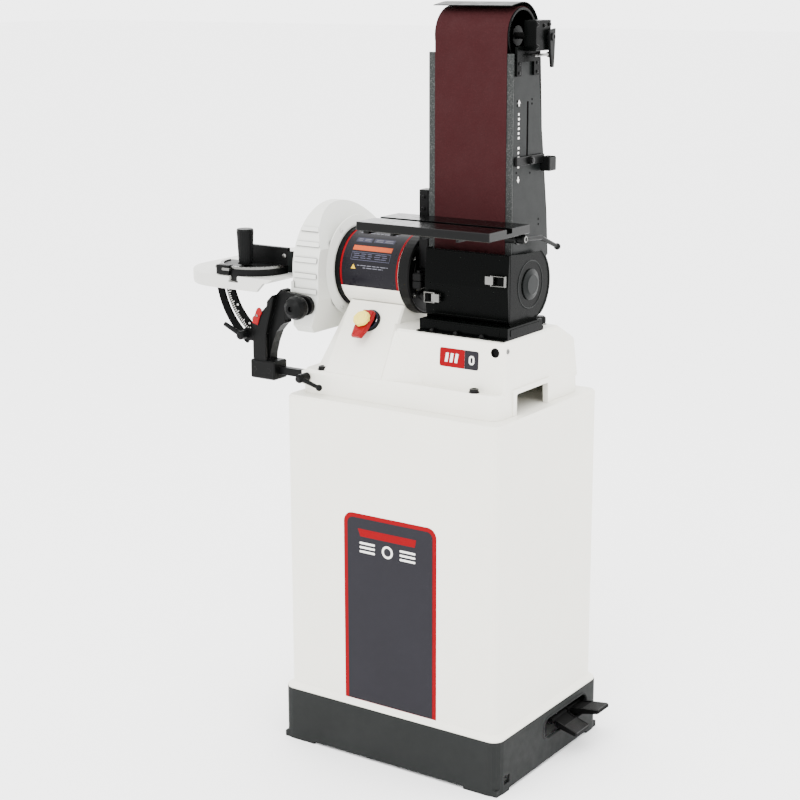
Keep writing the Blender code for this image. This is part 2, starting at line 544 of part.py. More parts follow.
def build_table_bracket():
    box("support_bar", "black_paint", (-0.3450, -0.1250), BAR_Y, BAR_Z, bevel=0.001)
    column = [(-0.3440, 0.7500), (-0.3110, 0.7500), (-0.3110, 0.8160), (-0.3050, 0.8400), (-0.2950, 0.8720),
              (-0.2900, 0.8930), (-0.2932, 0.8951), (-0.3073, 0.8810), (-0.3076, 0.8722), (-0.3387, 0.8412),
              (-0.3440, 0.8355)]
    bracket = prism("table_bracket", "black_paint", column, "Y", -0.1570, -0.1380, bevel=0.002)
    web = [(-0.3430, 0.7510), (-0.3120, 0.7510), (-0.3100, 0.7740), (-0.3035, 0.7975), (-0.2940, 0.8200),
           (-0.2810, 0.8350), (-0.2745, 0.8390), (-0.2745, 0.9030), (-0.2820, 0.9050), (-0.3066, 0.8806),
           (-0.3072, 0.8715), (-0.3380, 0.8406), (-0.3430, 0.8350)]
    knob = (-0.2265, 0.8780)
    ear = [(-0.2780, 0.8440), (-0.2340, 0.8570)] + arc(knob, 0.0195, -100, 100, 8) + [(-0.2780, 0.9020)]
    stud = tilt_point(0.148, STUD_ANGLE)
    lug = arc(stud, 0.0120, 90, 270, 8) + [(-0.3400, stud[1] - 0.012), (-0.3400, stud[1] + 0.012)]
    fuse(bracket,
         prism("c_web", None, web, "Y", -0.1430, -0.1200),
         prism("c_ear", None, ear, "Y", -0.1425, -0.1330),
         prism("c_lug", None, lug, "Y", -0.1560, -0.1390),
         box("c_foot", None, (-0.3480, -0.2880), (-0.1604, -0.1184), (0.7255, 0.7624), bevel=0.0026))
    cut(bracket,
        prism("c_slit", None, tilt_sector(0.1225, 0.1700, 40, 108, 20), "Y", -0.1516, -0.1444),
        box("c_bar_hole", None, (-0.3453, -0.28), (BAR_Y[0] - GAP, BAR_Y[1] + GAP),
            (BAR_Z[0] - GAP, BAR_Z[1] + GAP)),
        rod("c_lug_hole", None, (stud[0], -0.17, stud[1]), (stud[0], -0.13, stud[1]), 0.0038),
        rod("c_knob_hole", None, (knob[0], -0.17, knob[1]), (knob[0], -0.13, knob[1]), 0.0043))

    lever = turned("tilt_lock_lever", "black_plastic",
                   [(0, 0), (0, 0.0085), (0.019, 0.0085), (0.0225, 0.0060), (0.0225, 0)],
                   (stud[0], -0.1575, stud[1]), (0, -1, 0), 20)
    y = -0.1710
    fuse(lever,
         rod("c_tl_stud", None, (stud[0], -0.160, stud[1]), (stud[0], -0.1390, stud[1]), 0.0035),
         rod("c_tl_rod", None, (stud[0], y, stud[1]), (stud[0] - 0.0420, y, stud[1] + 0.0182), 0.0052,
             0.0044, 12))

    profile = [(-0.015, 0), (-0.015, 0.004), (0, 0.004), (0, 0.0120), (0.0055, 0.0195), (0.0140, 0.0235),
               (0.0230, 0.0232),
               (0.0320, 0.0190), (0.0375, 0.0110), (0.0382, 0.0055), (0.0340, 0.0040), (0.0340, 0)]
    turned("bracket_knob", "black_plastic", profile, (knob[0], -0.1480, knob[1]), (0, -1, 0), 28)


PIVOT_Y = -0.1180      # miter head pivot
HANDLE_Y = -0.1500


def build_miter():
    top = TABLE_TOP
    bar = box("miter_bar", "steel", (SLOT_X - 0.0095, SLOT_X + 0.0095), (-0.1840, 0.1160),
              (0.9206, top - 0.0002),
              (SLOT_X, 0, top))
    fuse(bar, rod("c_pin", None, (SLOT_X, PIVOT_Y, top - 0.004), (SLOT_X, PIVOT_Y, top + 0.012), 0.004,
                  steps=12))
    low = top + 0.0006
    head_top = 0.9462
    centre = (SLOT_X, PIVOT_Y)
    plan = arc(centre, 0.0700, 180, 360, 24) + [(SLOT_X + 0.070, -0.1065), (SLOT_X - 0.070, -0.1065)]
    head = prism("miter_head", "black_paint", plan, "Z", low, head_top, (SLOT_X, PIVOT_Y, low))
    rim = sector(centre, 0.0635, 0.0700, 180, 360, 24)
    radius = PIVOT_Y - HANDLE_Y
    fuse(head, prism("c_rim_arc", None, rim, "Z", head_top - 0.002, head_top + 0.0026))
    cut(head, prism("c_head_arc", None, sector(centre, radius - 0.004, radius + 0.004, 205, 335, 16), "Z",
                    0.9, 1.0),
        rod("c_head_pin", None, (SLOT_X, PIVOT_Y, 0.9), (SLOT_X, PIVOT_Y, 0.9433), 0.0043, steps=12))
    face = -0.1062
    fence = box("miter_fence", "black_paint", (-0.4110, -0.2925), (face, face + 0.0100),
                (low + 0.0006, 0.9800), bevel=0.0008)
    end = [(-0.2940, low + 0.0006), (-0.2760, low + 0.0006), (-0.2760, 0.9640), (-0.2830, 0.9735),
           (-0.2940, 0.9735)]
    fuse(fence, prism("c_fence_end", None, end, "Y", face + 0.0015, face + 0.0085))
    handle = turned("miter_handle", "black_plastic",
                    [(-0.0160, 0), (-0.0160, 0.003), (0, 0.003), (0, 0.0132), (0.066, 0.0168),
                     (0.0690, 0.0155), (0.0690, 0)],
                    (SLOT_X, HANDLE_Y, 0.9492), (0, 0, 1), 28)
    return handle


# ---- belt side -----------------------------------------------------------------------
def arm_outline(front):
    """Side plate of the arm in (y, z): a tapered plate with a round foot about the shaft."""
    foot = 0.0620
    start = 180 - asin(0.0415 / foot) * 180 / pi
    return ([(front, SHAFT_Z + 0.0415), (front, 1.345), (0.0376, 1.345), (0.0406, 1.3175), (0.0637, 1.165),
             (0.0776, 1.068), (0.0848, 0.985), (0.0562, 0.9662)]
            + arc((0, SHAFT_Z), foot, 25, start - 360, 22)[1:-1])


def build_arm():
    front = PLATEN_FRONT + 0.004 + GAP
    hole = ((-0.02, 0, SHAFT_Z), (0.2, 0, SHAFT_Z))
    pivot = (0, 0, SHAFT_Z)
    for name, x, mat in (("arm_plate_left", ARM_X[0], "grey_paint"),
                         ("arm_plate_right", ARM_X[1] - PLATE_T, "grey_paint")):
        plate = prism(name, mat, arm_outline(front), "X", x, x + PLATE_T, pivot)
        cut(plate, rod(f"c_{name}", None, *hole, 0.0253, steps=32))
        if name == "arm_plate_right":
            cut(plate, box("c_tension", None, (0.17, 0.19), (-0.0010, 0.0050), (1.160, 1.274)))
            fuse(plate, box("c_seat", None, (0.1695, 0.1795), (-0.0040, 0.0080), (1.2860, 1.2898)))
    platen = box("platen", "steel", ARM_X, (PLATEN_FRONT, PLATEN_FRONT + 0.004), (0.995, 1.360), pivot,
                 0.0006)
    return platen


def build_arm_covers():
    pivot = (0, 0, SHAFT_Z)
    t = 0.0015
    idler = (0, IDLER_Z)
    over = 0.0585
    top = ([(-0.0440, 1.4425), (-0.0160, 1.4470)] + arc(idler, over, 97, 8, 14)
           + arc(idler, over + t, 8, 97, 14) + [(-0.0160, 1.4470 + t), (-0.0440, 1.4425 + t)])
    prism("top_guard", "grey_paint", top, "X", 0.0060, 0.1700, pivot)
    back_line = [(0.0585, 1.3940), (0.0640, 1.3450), (0.0700, 1.2500), (0.0850, 0.9850)]
    back = back_line + [(y + t, z) for y, z in reversed(back_line)]
    cover = prism("arm_back_cover", "black_paint", back, "X", 0.0120, 0.1700, pivot)
    cheek = back_line[1:] + [(0.0700, 0.9850), (0.0560, 1.2500), (0.0540, 1.3450)]
    cheek = [(y + 0.0007, z) for y, z in cheek]
    fuse(cover, prism("c_cheek_a", None, cheek, "X", 0.0120, 0.0135),
         prism("c_cheek_b", None, cheek, "X", 0.1685, 0.1700))


def build_arm_pivot():
    """Split collar on the motor boss, with the post that carries the arm and the belt table."""
    pivot = (0, 0, SHAFT_Z)
    x0, x1 = -0.0255, -0.0040
    ring = turned("arm_pivot_bracket", "black_paint",
                  [(x0, 0.0325), (x0, 0.0430), (x1, 0.0430), (x1, 0.0325)],
                  pivot, (1, 0, 0), 40)
    hinge = arc((HINGE_Y, HINGE_Z), 0.0095, 90, 270, 8) + [(-0.0440, HINGE_Z - 0.0095),
                                                           (-0.0440, HINGE_Z + 0.0095)]
    fuse(ring, box("c_ears", None, (x0 + 0.0010, x1 - 0.0010), (-0.0700, -0.0360), (0.9210, 0.9510),
                   bevel=0.002),
         box("c_post", None, (x0 + 0.0006, x1 - 0.0006), (-0.0450, -0.0335), (0.9570, 1.1060), bevel=0.001),
         box("c_post_deep", None, (x0 + 0.0006, x1 - 0.0006), (-0.0340, -0.0200), (0.9880, 1.1060)),
         box("c_tie", None, (x1 - 0.003, ARM_X[0] - GAP), (-0.0440, -0.0340), (1.0620, 1.1000)),
         prism("c_hinge_l", None, hinge, "X", x0 + 0.0015, x1 - 0.0015))
    cut(ring, box("c_split", None, (-0.03, 0.0), (-0.09, -0.0300), (0.9352, 0.9370)))
    bush = [(0.1745, 0.0093), (0.1745, 0.0250), (0.1806, 0.0250), (0.1806, 0.0340), (0.1897, 0.0340),
            (0.1897, 0.0093)]
    turned("arm_pivot_bush", "steel", bush, pivot, (1, 0, 0), 32)


def drum_profile(bore):
    a, b, mid = 0.0130, 0.1690, 0.0910
    return [(a, DRUM_R - 0.005), (a, DRUM_R - 0.0006), (mid - 0.02, DRUM_R - GAP),
            (mid + 0.02, DRUM_R - GAP),
            (b, DRUM_R - 0.0006), (b, DRUM_R - 0.005), (mid + 0.005, DRUM_R - 0.005), (mid + 0.005, 0.0180),
            (b - 0.010, 0.0180), (b - 0.010, bore), (a + 0.010, bore), (a + 0.010, 0.0180),
            (mid - 0.005, 0.0180), (mid - 0.005, DRUM_R - 0.005)]


def build_drums():
    turned("drive_drum", "steel", drum_profile(0.0093), (0, 0, SHAFT_Z), (1, 0, 0), 40)
    turned("idler_drum", "steel", drum_profile(0.0063), (0, 0, IDLER_Z), (1, 0, 0), 40)
    rod("idler_axle", "bright_steel", (-0.0035, 0, IDLER_Z), (0.1975, 0, IDLER_Z), 0.0060, steps=16)

    def loop(radius, steps=16):
        return arc((0, IDLER_Z), radius, 0, 180, steps) + arc((0, SHAFT_Z), radius, 180, 360, steps)

    belt = prism("abrasive_belt", "abrasive", loop(DRUM_R + BELT_T, 20), "X", *BELT_X, (0, 0, SHAFT_Z))
    cut(belt, prism("c_belt", None, loop(DRUM_R + 0.0001, 20), "X", -0.01, 0.2))


def build_tracking():
    top, low = 1.4180, 1.3640
    right = box("tracking_bracket", "black_paint", (0.1806, 0.2060), (-0.0170, 0.0380), (low, top),
                (0.1933, 0, IDLER_Z), 0.0015)
    fuse(right,
         box("c_leg_a", None, (0.1806, 0.1850), (-0.0450, -0.0300), (1.3200, 1.3560)),
         box("c_leg_b", None, (0.1806, 0.1850), (0.0150, 0.0370), (1.3200, 1.3700)),
         box("c_yoke", None, (0.1806, 0.1850), (-0.0450, 0.0370), (1.3450, 1.3720)),
         box("c_tongue", None, (0.1705, 0.1840), (-0.0040, 0.0080), (1.3610, 1.3720)))
    cut(right, rod("c_idler_hole", None, (0.16, 0, IDLER_Z), (0.1980, 0, IDLER_Z), 0.0063),
        rod("c_screw_hole", None, (0.196, -0.02, 1.3580), (0.196, 0.05, 1.3580), 0.0033, steps=12))
    left = box("idler_bracket_left", "black_paint", (-0.0040, 0.0003), (-0.0180, 0.0180), (1.3480, 1.4080),
               (0, 0, IDLER_Z), 0.0008)
    cut(left, rod("c_idler_left", None, (-0.02, 0, IDLER_Z), (0.02, 0, IDLER_Z), 0.0063))
    grip = [(0.0195, 1.4000), (0.0420, 1.4030), (0.0400, 1.3600), (0.0375, 1.3340), (0.0290, 1.3340),
            (0.0240, 1.3600)]
    handle = prism("tracking_handle", "grey_paint", grip, "X", 0.2085, 0.2135, (0.211, 0.0300, 1.3880),
                   0.001)
    fuse(handle, rod("c_th_hub", None, (0.2063, 0.0300, 1.3880), (0.2160, 0.0300, 1.3880), 0.0070,
                     steps=16))
    turned("tracking_screw", "bright_steel",
           [(0, 0), (0, 0.0028), (0.050, 0.0028), (0.050, 0.0052), (0.0560, 0.0052), (0.0560, 0)],
           (0.196, -0.0040, 1.3560), (0, 1, 0), 12)


def build_tension():
    """A handle that slides in the arm's slot and pulls the idler carriage by a spring."""
    x = 0.1806
    handle = box("tension_handle", "black_plastic", (x, x + 0.0060), (-0.0450, 0.0560), (1.1600, 1.1760),
                 (x, 0.002, 1.168), 0.0012)
    fuse(handle,
         box("c_tab_h", None, (x + 0.001, x + 0.0210), (0.0480, 0.0740), (1.1445, 1.1700), bevel=0.0015),
         rod("c_tn_bolt", None, (0.1705, 0.0020, 1.1680), (x + 0.0105, 0.0020, 1.1680), 0.0026, steps=10),
         box("c_tn_nut", None, (0.1705, 0.1776), (-0.0060, 0.0100), (1.1600, 1.1760)),
         rod("c_tn_head", None, (x + 0.005, 0.0020, 1.1680), (x + 0.0110, 0.0020, 1.1680), 0.0075,
             steps=16))
    bm = bmesh.new()
    turns, coil, wire, sides = 9, 0.0030, 0.0007, 5
    low, high = 1.2900, 1.3602
    steps = turns * 9
    rings = []
    for i in range(steps + 1):
        t = 2 * pi * turns * i / steps
        z = low + 0.001 + (high - low - 0.002) * i / steps
        ring = []
        for k in range(sides):
            a = 2 * pi * k / sides
            r = coil + wire * cos(a)
            ring.append(bm.verts.new((0.1737 + r * cos(t), 0.002 + r * sin(t), z + wire * sin(a))))
        rings.append(ring)
    for first, second in zip(rings, rings[1:]):
        for k in range(sides):
            j = (k + 1) % sides
            bm.faces.new((first[k], first[j], second[j], second[k]))
    bm.faces.new(rings[0])
    bm.faces.new(rings[-1])
    finish("tension_spring", bm, "steel", (0.1737, 0.002, high))


def build_housing():
    x0, x1 = HOUSING_X
    wall = 0.002
    floor = BOX_TOP + GAP
    centre = (0, SHAFT_Z)
    edge = -0.0715
    crest = asin(0.0575 / HOUSING_R) * 180 / pi
    right = ([(edge, 0.858), (edge, 1.0030), (-0.0180, 0.9990)] + arc(centre, HOUSING_R, crest, -60, 20)
             + [(0.0200, 0.8740), (0.0200, 0.858)])
    housing = prism("dust_housing", "black_paint", right, "X", x1 - wall, x1)
    inner_r = 0.0712
    left = ([(edge, 0.858), (edge, 1.0030), (-0.0530, 1.0030), (-0.0530, SHAFT_Z + 0.0475)]
            + arc(centre, inner_r, 138, -72, 26) + [(0.0200, 0.8700), (0.0200, 0.858)])
    trough_out = arc(centre, HOUSING_R, 180, 285, 14)
    trough_in = arc(centre, HOUSING_R - 0.0025, 285, 180, 14)
    foot = [(-0.1050, floor), (0.0240, floor), (0.0240, 0.8560), (0.0200, 0.8560), (0.0200, 0.8745),
            (-0.0725, 0.8745), (-0.1050, 0.8745)]
    fuse(housing,
         prism("c_hs_left", None, left, "X", x0, x0 + wall),
         prism("c_hs_trough", None, trough_out + trough_in, "X", x0 + 0.001, x1 - 0.001),
         prism("c_hs_foot", None, foot, "X", x0 + 0.006, 0.2075))
    cut(housing,
        prism("c_hs_in", None, [(-0.1030, 0.80), (0.0180, 0.80), (0.0180, 0.8725), (-0.1030, 0.8725)], "X",
              x0 + 0.0085, 0.2055),
        rod("c_hs_round", None, (x0 + wall - 0.0003, 0, SHAFT_Z), (x1 - wall + 0.0003, 0, SHAFT_Z),
            HOUSING_R - 0.0015, steps=64),
        rod("c_hs_shaft", None, (0.0, 0, SHAFT_Z), (0.02, 0, SHAFT_Z), 0.0280, steps=32))
    cap = [(0.0003, 0), (0.0003, 0.0290), (0.0022, 0.0290), (0.0048, 0.0205), (0.0060, 0.0180), (0.0060, 0)]
    turned("pivot_cap", "grey_paint", cap, (x1, 0, SHAFT_Z), (1, 0, 0), 32)

    hinge = (0.1, -0.0745, 0.8790)
    door = [(-0.0721, 0.8780), (-0.0745, 0.8780), (-0.0800, 0.9400), (-0.0745, 1.0030), (-0.0721, 1.0030)]
    prism("housing_door", "black_paint", door, "X", x0 + 0.0005, x1 - 0.0005, hinge)
    for name, x, z, reach in (("latch_right", (0.1480, 0.1640), 0.9560, 0.0255),
                              ("latch_left", (0.0300, 0.0480), 0.9120, -0.0160)):
        depth = (-0.0880, -0.0803)
        near, far = (x[0], x[1]) if reach > 0 else (x[1], x[0])
        latch = box(name, "bright_steel", x, depth, (z - 0.0085, z + 0.0085), (near, sum(depth) / 2, z),
                    0.0012)
        ends = sorted((far - (0.004 if reach > 0 else -0.004), far + reach))
        loop = box(f"c_{name}", None, ends, (depth[0] + 0.0030, depth[0] + 0.0052),
                   (z - 0.0100, z + 0.0100))
        gap = box(f"c_{name}_gap", None, (ends[0] + 0.0022, ends[1] - 0.0022), (-0.1, -0.07),
                  (z - 0.0078, z + 0.0078))
        cut(loop, gap)
        fuse(latch, loop)


def build_belt_table():
    x0, x1 = BELT_TABLE_X
    y0, y1 = BELT_TABLE_Y
    under = BELT_TABLE_TOP - BELT_TABLE_T
    table = box("belt_table", "black_paint", (x0, x1), (y0, y1), (under, BELT_TABLE_TOP),
                (0.08, HINGE_Y, HINGE_Z), 0.001)
    lug = [(HINGE_Y - 0.020, under + 0.001)] + arc((HINGE_Y, HINGE_Z), 0.0110, 180, 360,
                                                   10) + [(HINGE_Y + 0.008, under + 0.001)]
    fuse(table, prism("c_bt_l", None, lug, "X", -0.0300, -0.0260),
         prism("c_bt_r", None, lug, "X", 0.2004, 0.2044))
    cut(table, box("c_bt_slot", None, (-0.1, 0.3), (-0.1385, -0.1195), (1.0520, 1.07)),
        rod("c_bt_pin", None, (-0.1, HINGE_Y, HINGE_Z), (0.3, HINGE_Y, HINGE_Z), 0.0043, steps=12))
    arm = arc((HINGE_Y, HINGE_Z), 0.0095, 90, 270, 8) + [(-0.0300, HINGE_Z - 0.0095),
                                                         (-0.0300, HINGE_Z + 0.0095)]
    hinge = prism("belt_table_hinge", "black_paint", arm, "X", 0.1806, 0.2000)
    cut(hinge, rod("c_bh_pin", None, (0.1, HINGE_Y, HINGE_Z), (0.3, HINGE_Y, HINGE_Z), 0.0043, steps=12))
    lever = turned("belt_table_lever", "black_plastic",
                   [(-0.0235, 0), (-0.0235, 0.0040), (0, 0.0040), (0, 0.0085), (0.0120, 0.0085),
                    (0.0150, 0.0065), (0.0150, 0)],
                   (0.2047, HINGE_Y, HINGE_Z), (1, 0, 0), 20)
    x = 0.2120
    bend = (x, 0.0050, 1.0285)
    tip = (x, 0.0640, 1.0040)
    fuse(lever,
         rod("c_bv_a", None, (x, HINGE_Y, HINGE_Z), bend, 0.0052, 0.0046, 12),
         rod("c_bv_b", None, (x, bend[1] - 0.004, bend[2] + 0.0003), tip, 0.0046, 0.0038, 12),
         ball("c_bv_ball", tip, 0.0066, (0, 1, -0.42), 14, 7))


def build_arm_lock():
    """The knob behind the dust housing that locks the arm's tilt."""
    turned("arm_lock_knob", "black_plastic",
           [(0, 0), (0, 0.0060), (0.0085, 0.0060), (0.0085, 0.0085), (0.0105, 0.0100), (0.0200, 0.0100),
            (0.0225, 0.0075), (0.0225, 0)], (0.1935, 0.0375, BOX_TOP + GAP), (0, 0, 1), 20)


def build():
    clear_scene()
    build_stand()
    build_mobile_base()
    build_base()
    build_motor()
    build_disc()
    build_guard()
    build_disc_table()
    build_table_bracket()
    build_miter()
    build_arm()
    build_arm_covers()
    build_arm_pivot()
    build_drums()
    build_tracking()
    build_tension()
    build_housing()
    build_belt_table()
    build_arm_lock()
    for obj in bpy.data.objects:      # nothing is parented, so this moves every piece once
        obj.location.x += CENTRE_X


build()
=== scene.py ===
"""Looks of the belt disc sander: materials, labels, fasteners, camera and light.

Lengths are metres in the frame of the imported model.  Places are given from the centre
of the stand, with m(x, y, z): x along the motor shaft, y to the back, z up.
"""
from math import cos, pi, radians, sin

import bmesh
import bpy
from mathutils import Matrix, Vector


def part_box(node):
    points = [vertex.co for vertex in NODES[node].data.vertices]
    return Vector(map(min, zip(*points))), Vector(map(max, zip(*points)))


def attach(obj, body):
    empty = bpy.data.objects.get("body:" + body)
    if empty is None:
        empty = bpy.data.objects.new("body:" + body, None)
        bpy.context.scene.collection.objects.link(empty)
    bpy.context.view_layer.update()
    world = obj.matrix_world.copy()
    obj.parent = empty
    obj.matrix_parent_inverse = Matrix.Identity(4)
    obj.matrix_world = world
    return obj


X, Y, Z = Vector((1, 0, 0)), Vector((0, 1, 0)), Vector((0, 0, 1))
SKIN = 0.00015                        # labels and fasteners start this far off the metal
SHARP_ANGLE = radians(32)             # edges sharper than this are not shaded smooth
EDGE_WEAR_AND_HIGHLIGHT_RADIUS = 0.0009                  # width of the lighter rim along edges: wear and painted highlight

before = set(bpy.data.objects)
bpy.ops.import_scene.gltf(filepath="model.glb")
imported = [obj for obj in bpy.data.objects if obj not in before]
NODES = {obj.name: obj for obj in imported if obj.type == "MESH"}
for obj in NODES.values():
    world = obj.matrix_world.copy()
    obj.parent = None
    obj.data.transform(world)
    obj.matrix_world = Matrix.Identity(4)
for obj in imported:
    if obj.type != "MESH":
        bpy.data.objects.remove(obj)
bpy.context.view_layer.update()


def size_and_place(node):
    low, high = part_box(node)
    return low, high, (low + high) / 2


STAND_X = size_and_place("plinth")[2].x
SHAFT_Z = size_and_place("motor_shaft")[2].z
IDLER_Z = size_and_place("idler_axle")[2].z
DISC_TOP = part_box("disc_table")[1].z
BELT_TABLE_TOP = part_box("belt_table")[1].z
BASE_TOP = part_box("dust_housing")[0].z


def m(x, y, z):
    return Vector((x + STAND_X, y, z))


# ---- materials -----------------------------------------------------------------------
def add_node(tree, kind, **inputs):
    """A shader node with its inputs set; an underscore in a name stands for a space."""
    node = tree.nodes.new("ShaderNode" + kind)
    for socket, value in inputs.items():
        node.inputs[socket.replace("_", " ")].default_value = value
    return node


def add_bump(tree, height, depth, strength):
    """Let a height texture stand out of the surface by depth, in metres."""
    bump = add_node(tree, "Bump", Distance=depth, Strength=strength)
    tree.links.new(height, bump.inputs["Height"])
    tree.links.new(bump.outputs["Normal"], tree.nodes["Principled BSDF"].inputs["Normal"])


def surface(name, colour, roughness, metallic=0.0, vary=0.05, vary_scale=9.0, rough_vary=0.06,
            grain=0.0, grain_scale=900.0, stretch=(1, 1, 1), specular=0.5,
            speck=None, edge=None, dust=0.0, crevice=None):
    """A Principled material whose colour, roughness and bump come from noise in metres.

    grain is the depth of the bump in metres.  speck is (colour, scale, threshold) for a
    fleck over the ground colour.  edge is (colour, amount) for a lighter rim along edges,
    which stands for wear and paints a highlight.  crevice is (colour, reach) for painted
    shade in corners, from ambient occlusion.
    """
    mat = bpy.data.materials.new(name)
    mat.use_nodes = True
    tree = mat.node_tree
    link = tree.links.new
    shader = tree.nodes["Principled BSDF"]
    shader.inputs["Metallic"].default_value = metallic
    shader.inputs["Specular IOR Level"].default_value = specular
    coords = tree.nodes.new("ShaderNodeTexCoord").outputs["Object"]

    def noise(scale, detail, rough, squash=(1, 1, 1)):
        place = add_node(tree, "Mapping", Scale=squash)
        cloud = add_node(tree, "TexNoise", Scale=scale, Detail=detail, Roughness=rough)
        link(coords, place.inputs["Vector"])
        link(place.outputs["Vector"], cloud.inputs["Vector"])
        return cloud.outputs["Fac"]

    def spread(value, low, high, to_low, to_high):
        scaled = add_node(tree, "MapRange", From_Min=low, From_Max=high, To_Min=to_low, To_Max=to_high)
        link(value, scaled.inputs["Value"])
        return scaled.outputs["Result"]

    def mix(factor, a, b):
        node = tree.nodes.new("ShaderNodeMix")
        node.data_type = "RGBA"
        link(factor, node.inputs["Factor"])
        for socket, colour_in in (("A", a), ("B", b)):
            target = [s for s in node.inputs if s.name == socket and s.type == "RGBA"][0]
            if isinstance(colour_in, (tuple, list)):
                target.default_value = (*colour_in, 1.0)
            else:
                link(colour_in, target)
        return [s for s in node.outputs if s.type == "RGBA"][0]

    dark = tuple(c * (1 - vary) for c in colour)
    light = tuple(min(1.0, c * (1 + vary)) for c in colour)
    out = mix(spread(noise(vary_scale, 4.0, 0.55, stretch), 0.35, 0.65, 0.0, 1.0), dark, light)
    if speck:
        fleck, scale, threshold = speck
        out = mix(spread(noise(scale, 2.0, 0.6), threshold, threshold + 0.06, 0.0, 1.0), out, fleck)
    if dust:
        out = mix(spread(noise(vary_scale * 2.7, 6.0, 0.6), 0.55, 0.8, 0.0, dust), out, DUST)
    # lighter rim along edges: wear, and a painted highlight where edges would catch light
    if edge:
        rim, amount = edge
        bevel = add_node(tree, "Bevel", Radius=EDGE_WEAR_AND_HIGHLIGHT_RADIUS)
        bevel.samples = 4
        flat = tree.nodes.new("ShaderNodeNewGeometry")
        dot = tree.nodes.new("ShaderNodeVectorMath")
        dot.operation = "DOT_PRODUCT"
        link(bevel.outputs["Normal"], dot.inputs[0])
        link(flat.outputs["Normal"], dot.inputs[1])
        out = mix(spread(dot.outputs["Value"], 0.985, 0.86, 0.0, amount), out, rim)
    # darken the colour where ambient occlusion finds corners: painted shade
    if crevice:
        shade, reach = crevice
        open_to = add_node(tree, "AmbientOcclusion", Distance=reach)
        open_to.samples = 8
        out = mix(spread(open_to.outputs["AO"], 0.98, 0.55, 0.0, 1.0), out, shade)
    link(out, shader.inputs["Base Color"])
    smooth, rough = max(0.03, roughness - rough_vary), min(1.0, roughness + rough_vary)
    link(spread(noise(vary_scale * 6, 4.0, 0.6, stretch), 0.3, 0.7, smooth, rough),
         shader.inputs["Roughness"])
    if grain:
        add_bump(tree, noise(grain_scale, 3.0, 0.55, stretch), grain, 1.0)
    return mat


def grey(level):
    return (level, level, level)


DUST = (0.06, 0.056, 0.05)
WHITE = (0.69, 0.676, 0.605)
# lighter colour for the edges of the white finishes: a painted highlight
WHITE_RIM_HIGHLIGHT = (0.8, 0.79, 0.74)
white_sheet = surface("powder_coat_white", WHITE, 0.42, vary=0.012, grain=0.00005, grain_scale=420,
                      specular=0.3, edge=(WHITE_RIM_HIGHLIGHT, 0.5))
white_cast = surface("cast_paint_white", WHITE, 0.38, vary=0.02, grain=0.00016, grain_scale=150,
                     specular=0.4, edge=(WHITE_RIM_HIGHLIGHT, 0.6))
# the guard: a painted highlight on its rib edges and painted shade in its corners
white_moulded = surface("moulded_white", (0.52, 0.525, 0.49), 0.42, vary=0.015, grain=0.00004,
                        grain_scale=700, specular=0.4, edge=((0.78, 0.78, 0.74), 0.8),
                        crevice=((0.17, 0.17, 0.16), 0.006))
plinth_grey = surface("plinth_moulding", (0.01, 0.0108, 0.0106), 0.62, vary=0.08, grain=0.00012,
                      grain_scale=520, specular=0.07, edge=(grey(0.03), 0.6))
black_cast = surface("cast_paint_black", (0.0016, 0.0017, 0.0017), 0.4, vary=0.15, grain=0.00015,
                     grain_scale=260, specular=0.07, edge=(grey(0.012), 0.5))
black_sheet = surface("powder_coat_black", (0.0006, 0.0008, 0.0007), 0.27, vary=0.12, grain=0.00003,
                      grain_scale=800, specular=0.025, edge=(grey(0.01), 0.5))
drum_black = surface("drum_black", (0.001, 0.0011, 0.0011), 0.34, vary=0.12, grain=0.00002,
                     grain_scale=500, specular=0.06, edge=(grey(0.02), 0.6))
grey_sheet = surface("arm_paint", (0.0042, 0.005, 0.0048), 0.34, vary=0.06, grain=0.00003,
                     grain_scale=800, specular=0.055, edge=(grey(0.02), 0.4))
black_plastic = surface("black_plastic", (0.002, 0.0022, 0.0022), 0.38, vary=0.1, grain=0.00005,
                        grain_scale=900, specular=0.06, edge=(grey(0.012), 0.5))
rubber = surface("rubber", grey(0.0025), 0.75, vary=0.2, grain=0.0001, grain_scale=700,
                 specular=0.06, dust=0.02)
red_plastic = surface("red_plastic", (0.185, 0.0008, 0.003), 0.25, vary=0.06, specular=0.12)
yellow_plastic = surface("yellow_plastic", (0.66, 0.53, 0.085), 0.34, vary=0.04, specular=0.3)
table_top = surface("ground_aluminium", (0.5, 0.5, 0.47), 0.42, metallic=0.25, vary=0.04,
                    vary_scale=26, grain=0.00003, grain_scale=700, stretch=(0.06, 1, 1))
machined = surface("machined_aluminium", (0.42, 0.42, 0.4), 0.34, metallic=0.9, vary=0.05,
                   grain=0.00003, grain_scale=900, stretch=(1, 0.05, 1))
black_table = surface("table_black", (0.0007, 0.0008, 0.0008), 0.2, vary=0.15, vary_scale=20,
                      grain=0.00002, grain_scale=350, specular=0.1, edge=(grey(0.02), 0.7))
steel = surface("steel", (0.34, 0.34, 0.33), 0.32, metallic=0.95, vary=0.06, grain=0.00002,
                grain_scale=900, stretch=(0.05, 1, 1))
zinc = surface("zinc_plate", (0.135, 0.134, 0.128), 0.2, metallic=0.95, vary=0.1, vary_scale=60)
black_oxide = surface("black_oxide", grey(0.004), 0.35, metallic=0.3, vary=0.2, vary_scale=80,
                      specular=0.12)
platen_steel = surface("platen_speckle", (0.016, 0.0175, 0.017), 0.5, metallic=0.1, vary=0.08, specular=0.1,
                       speck=((0.055, 0.057, 0.055), 620, 0.56), grain=0.00003, grain_scale=600)
copper = surface("winding", (0.3, 0.11, 0.05), 0.4, metallic=0.6, vary=0.2, vary_scale=90)
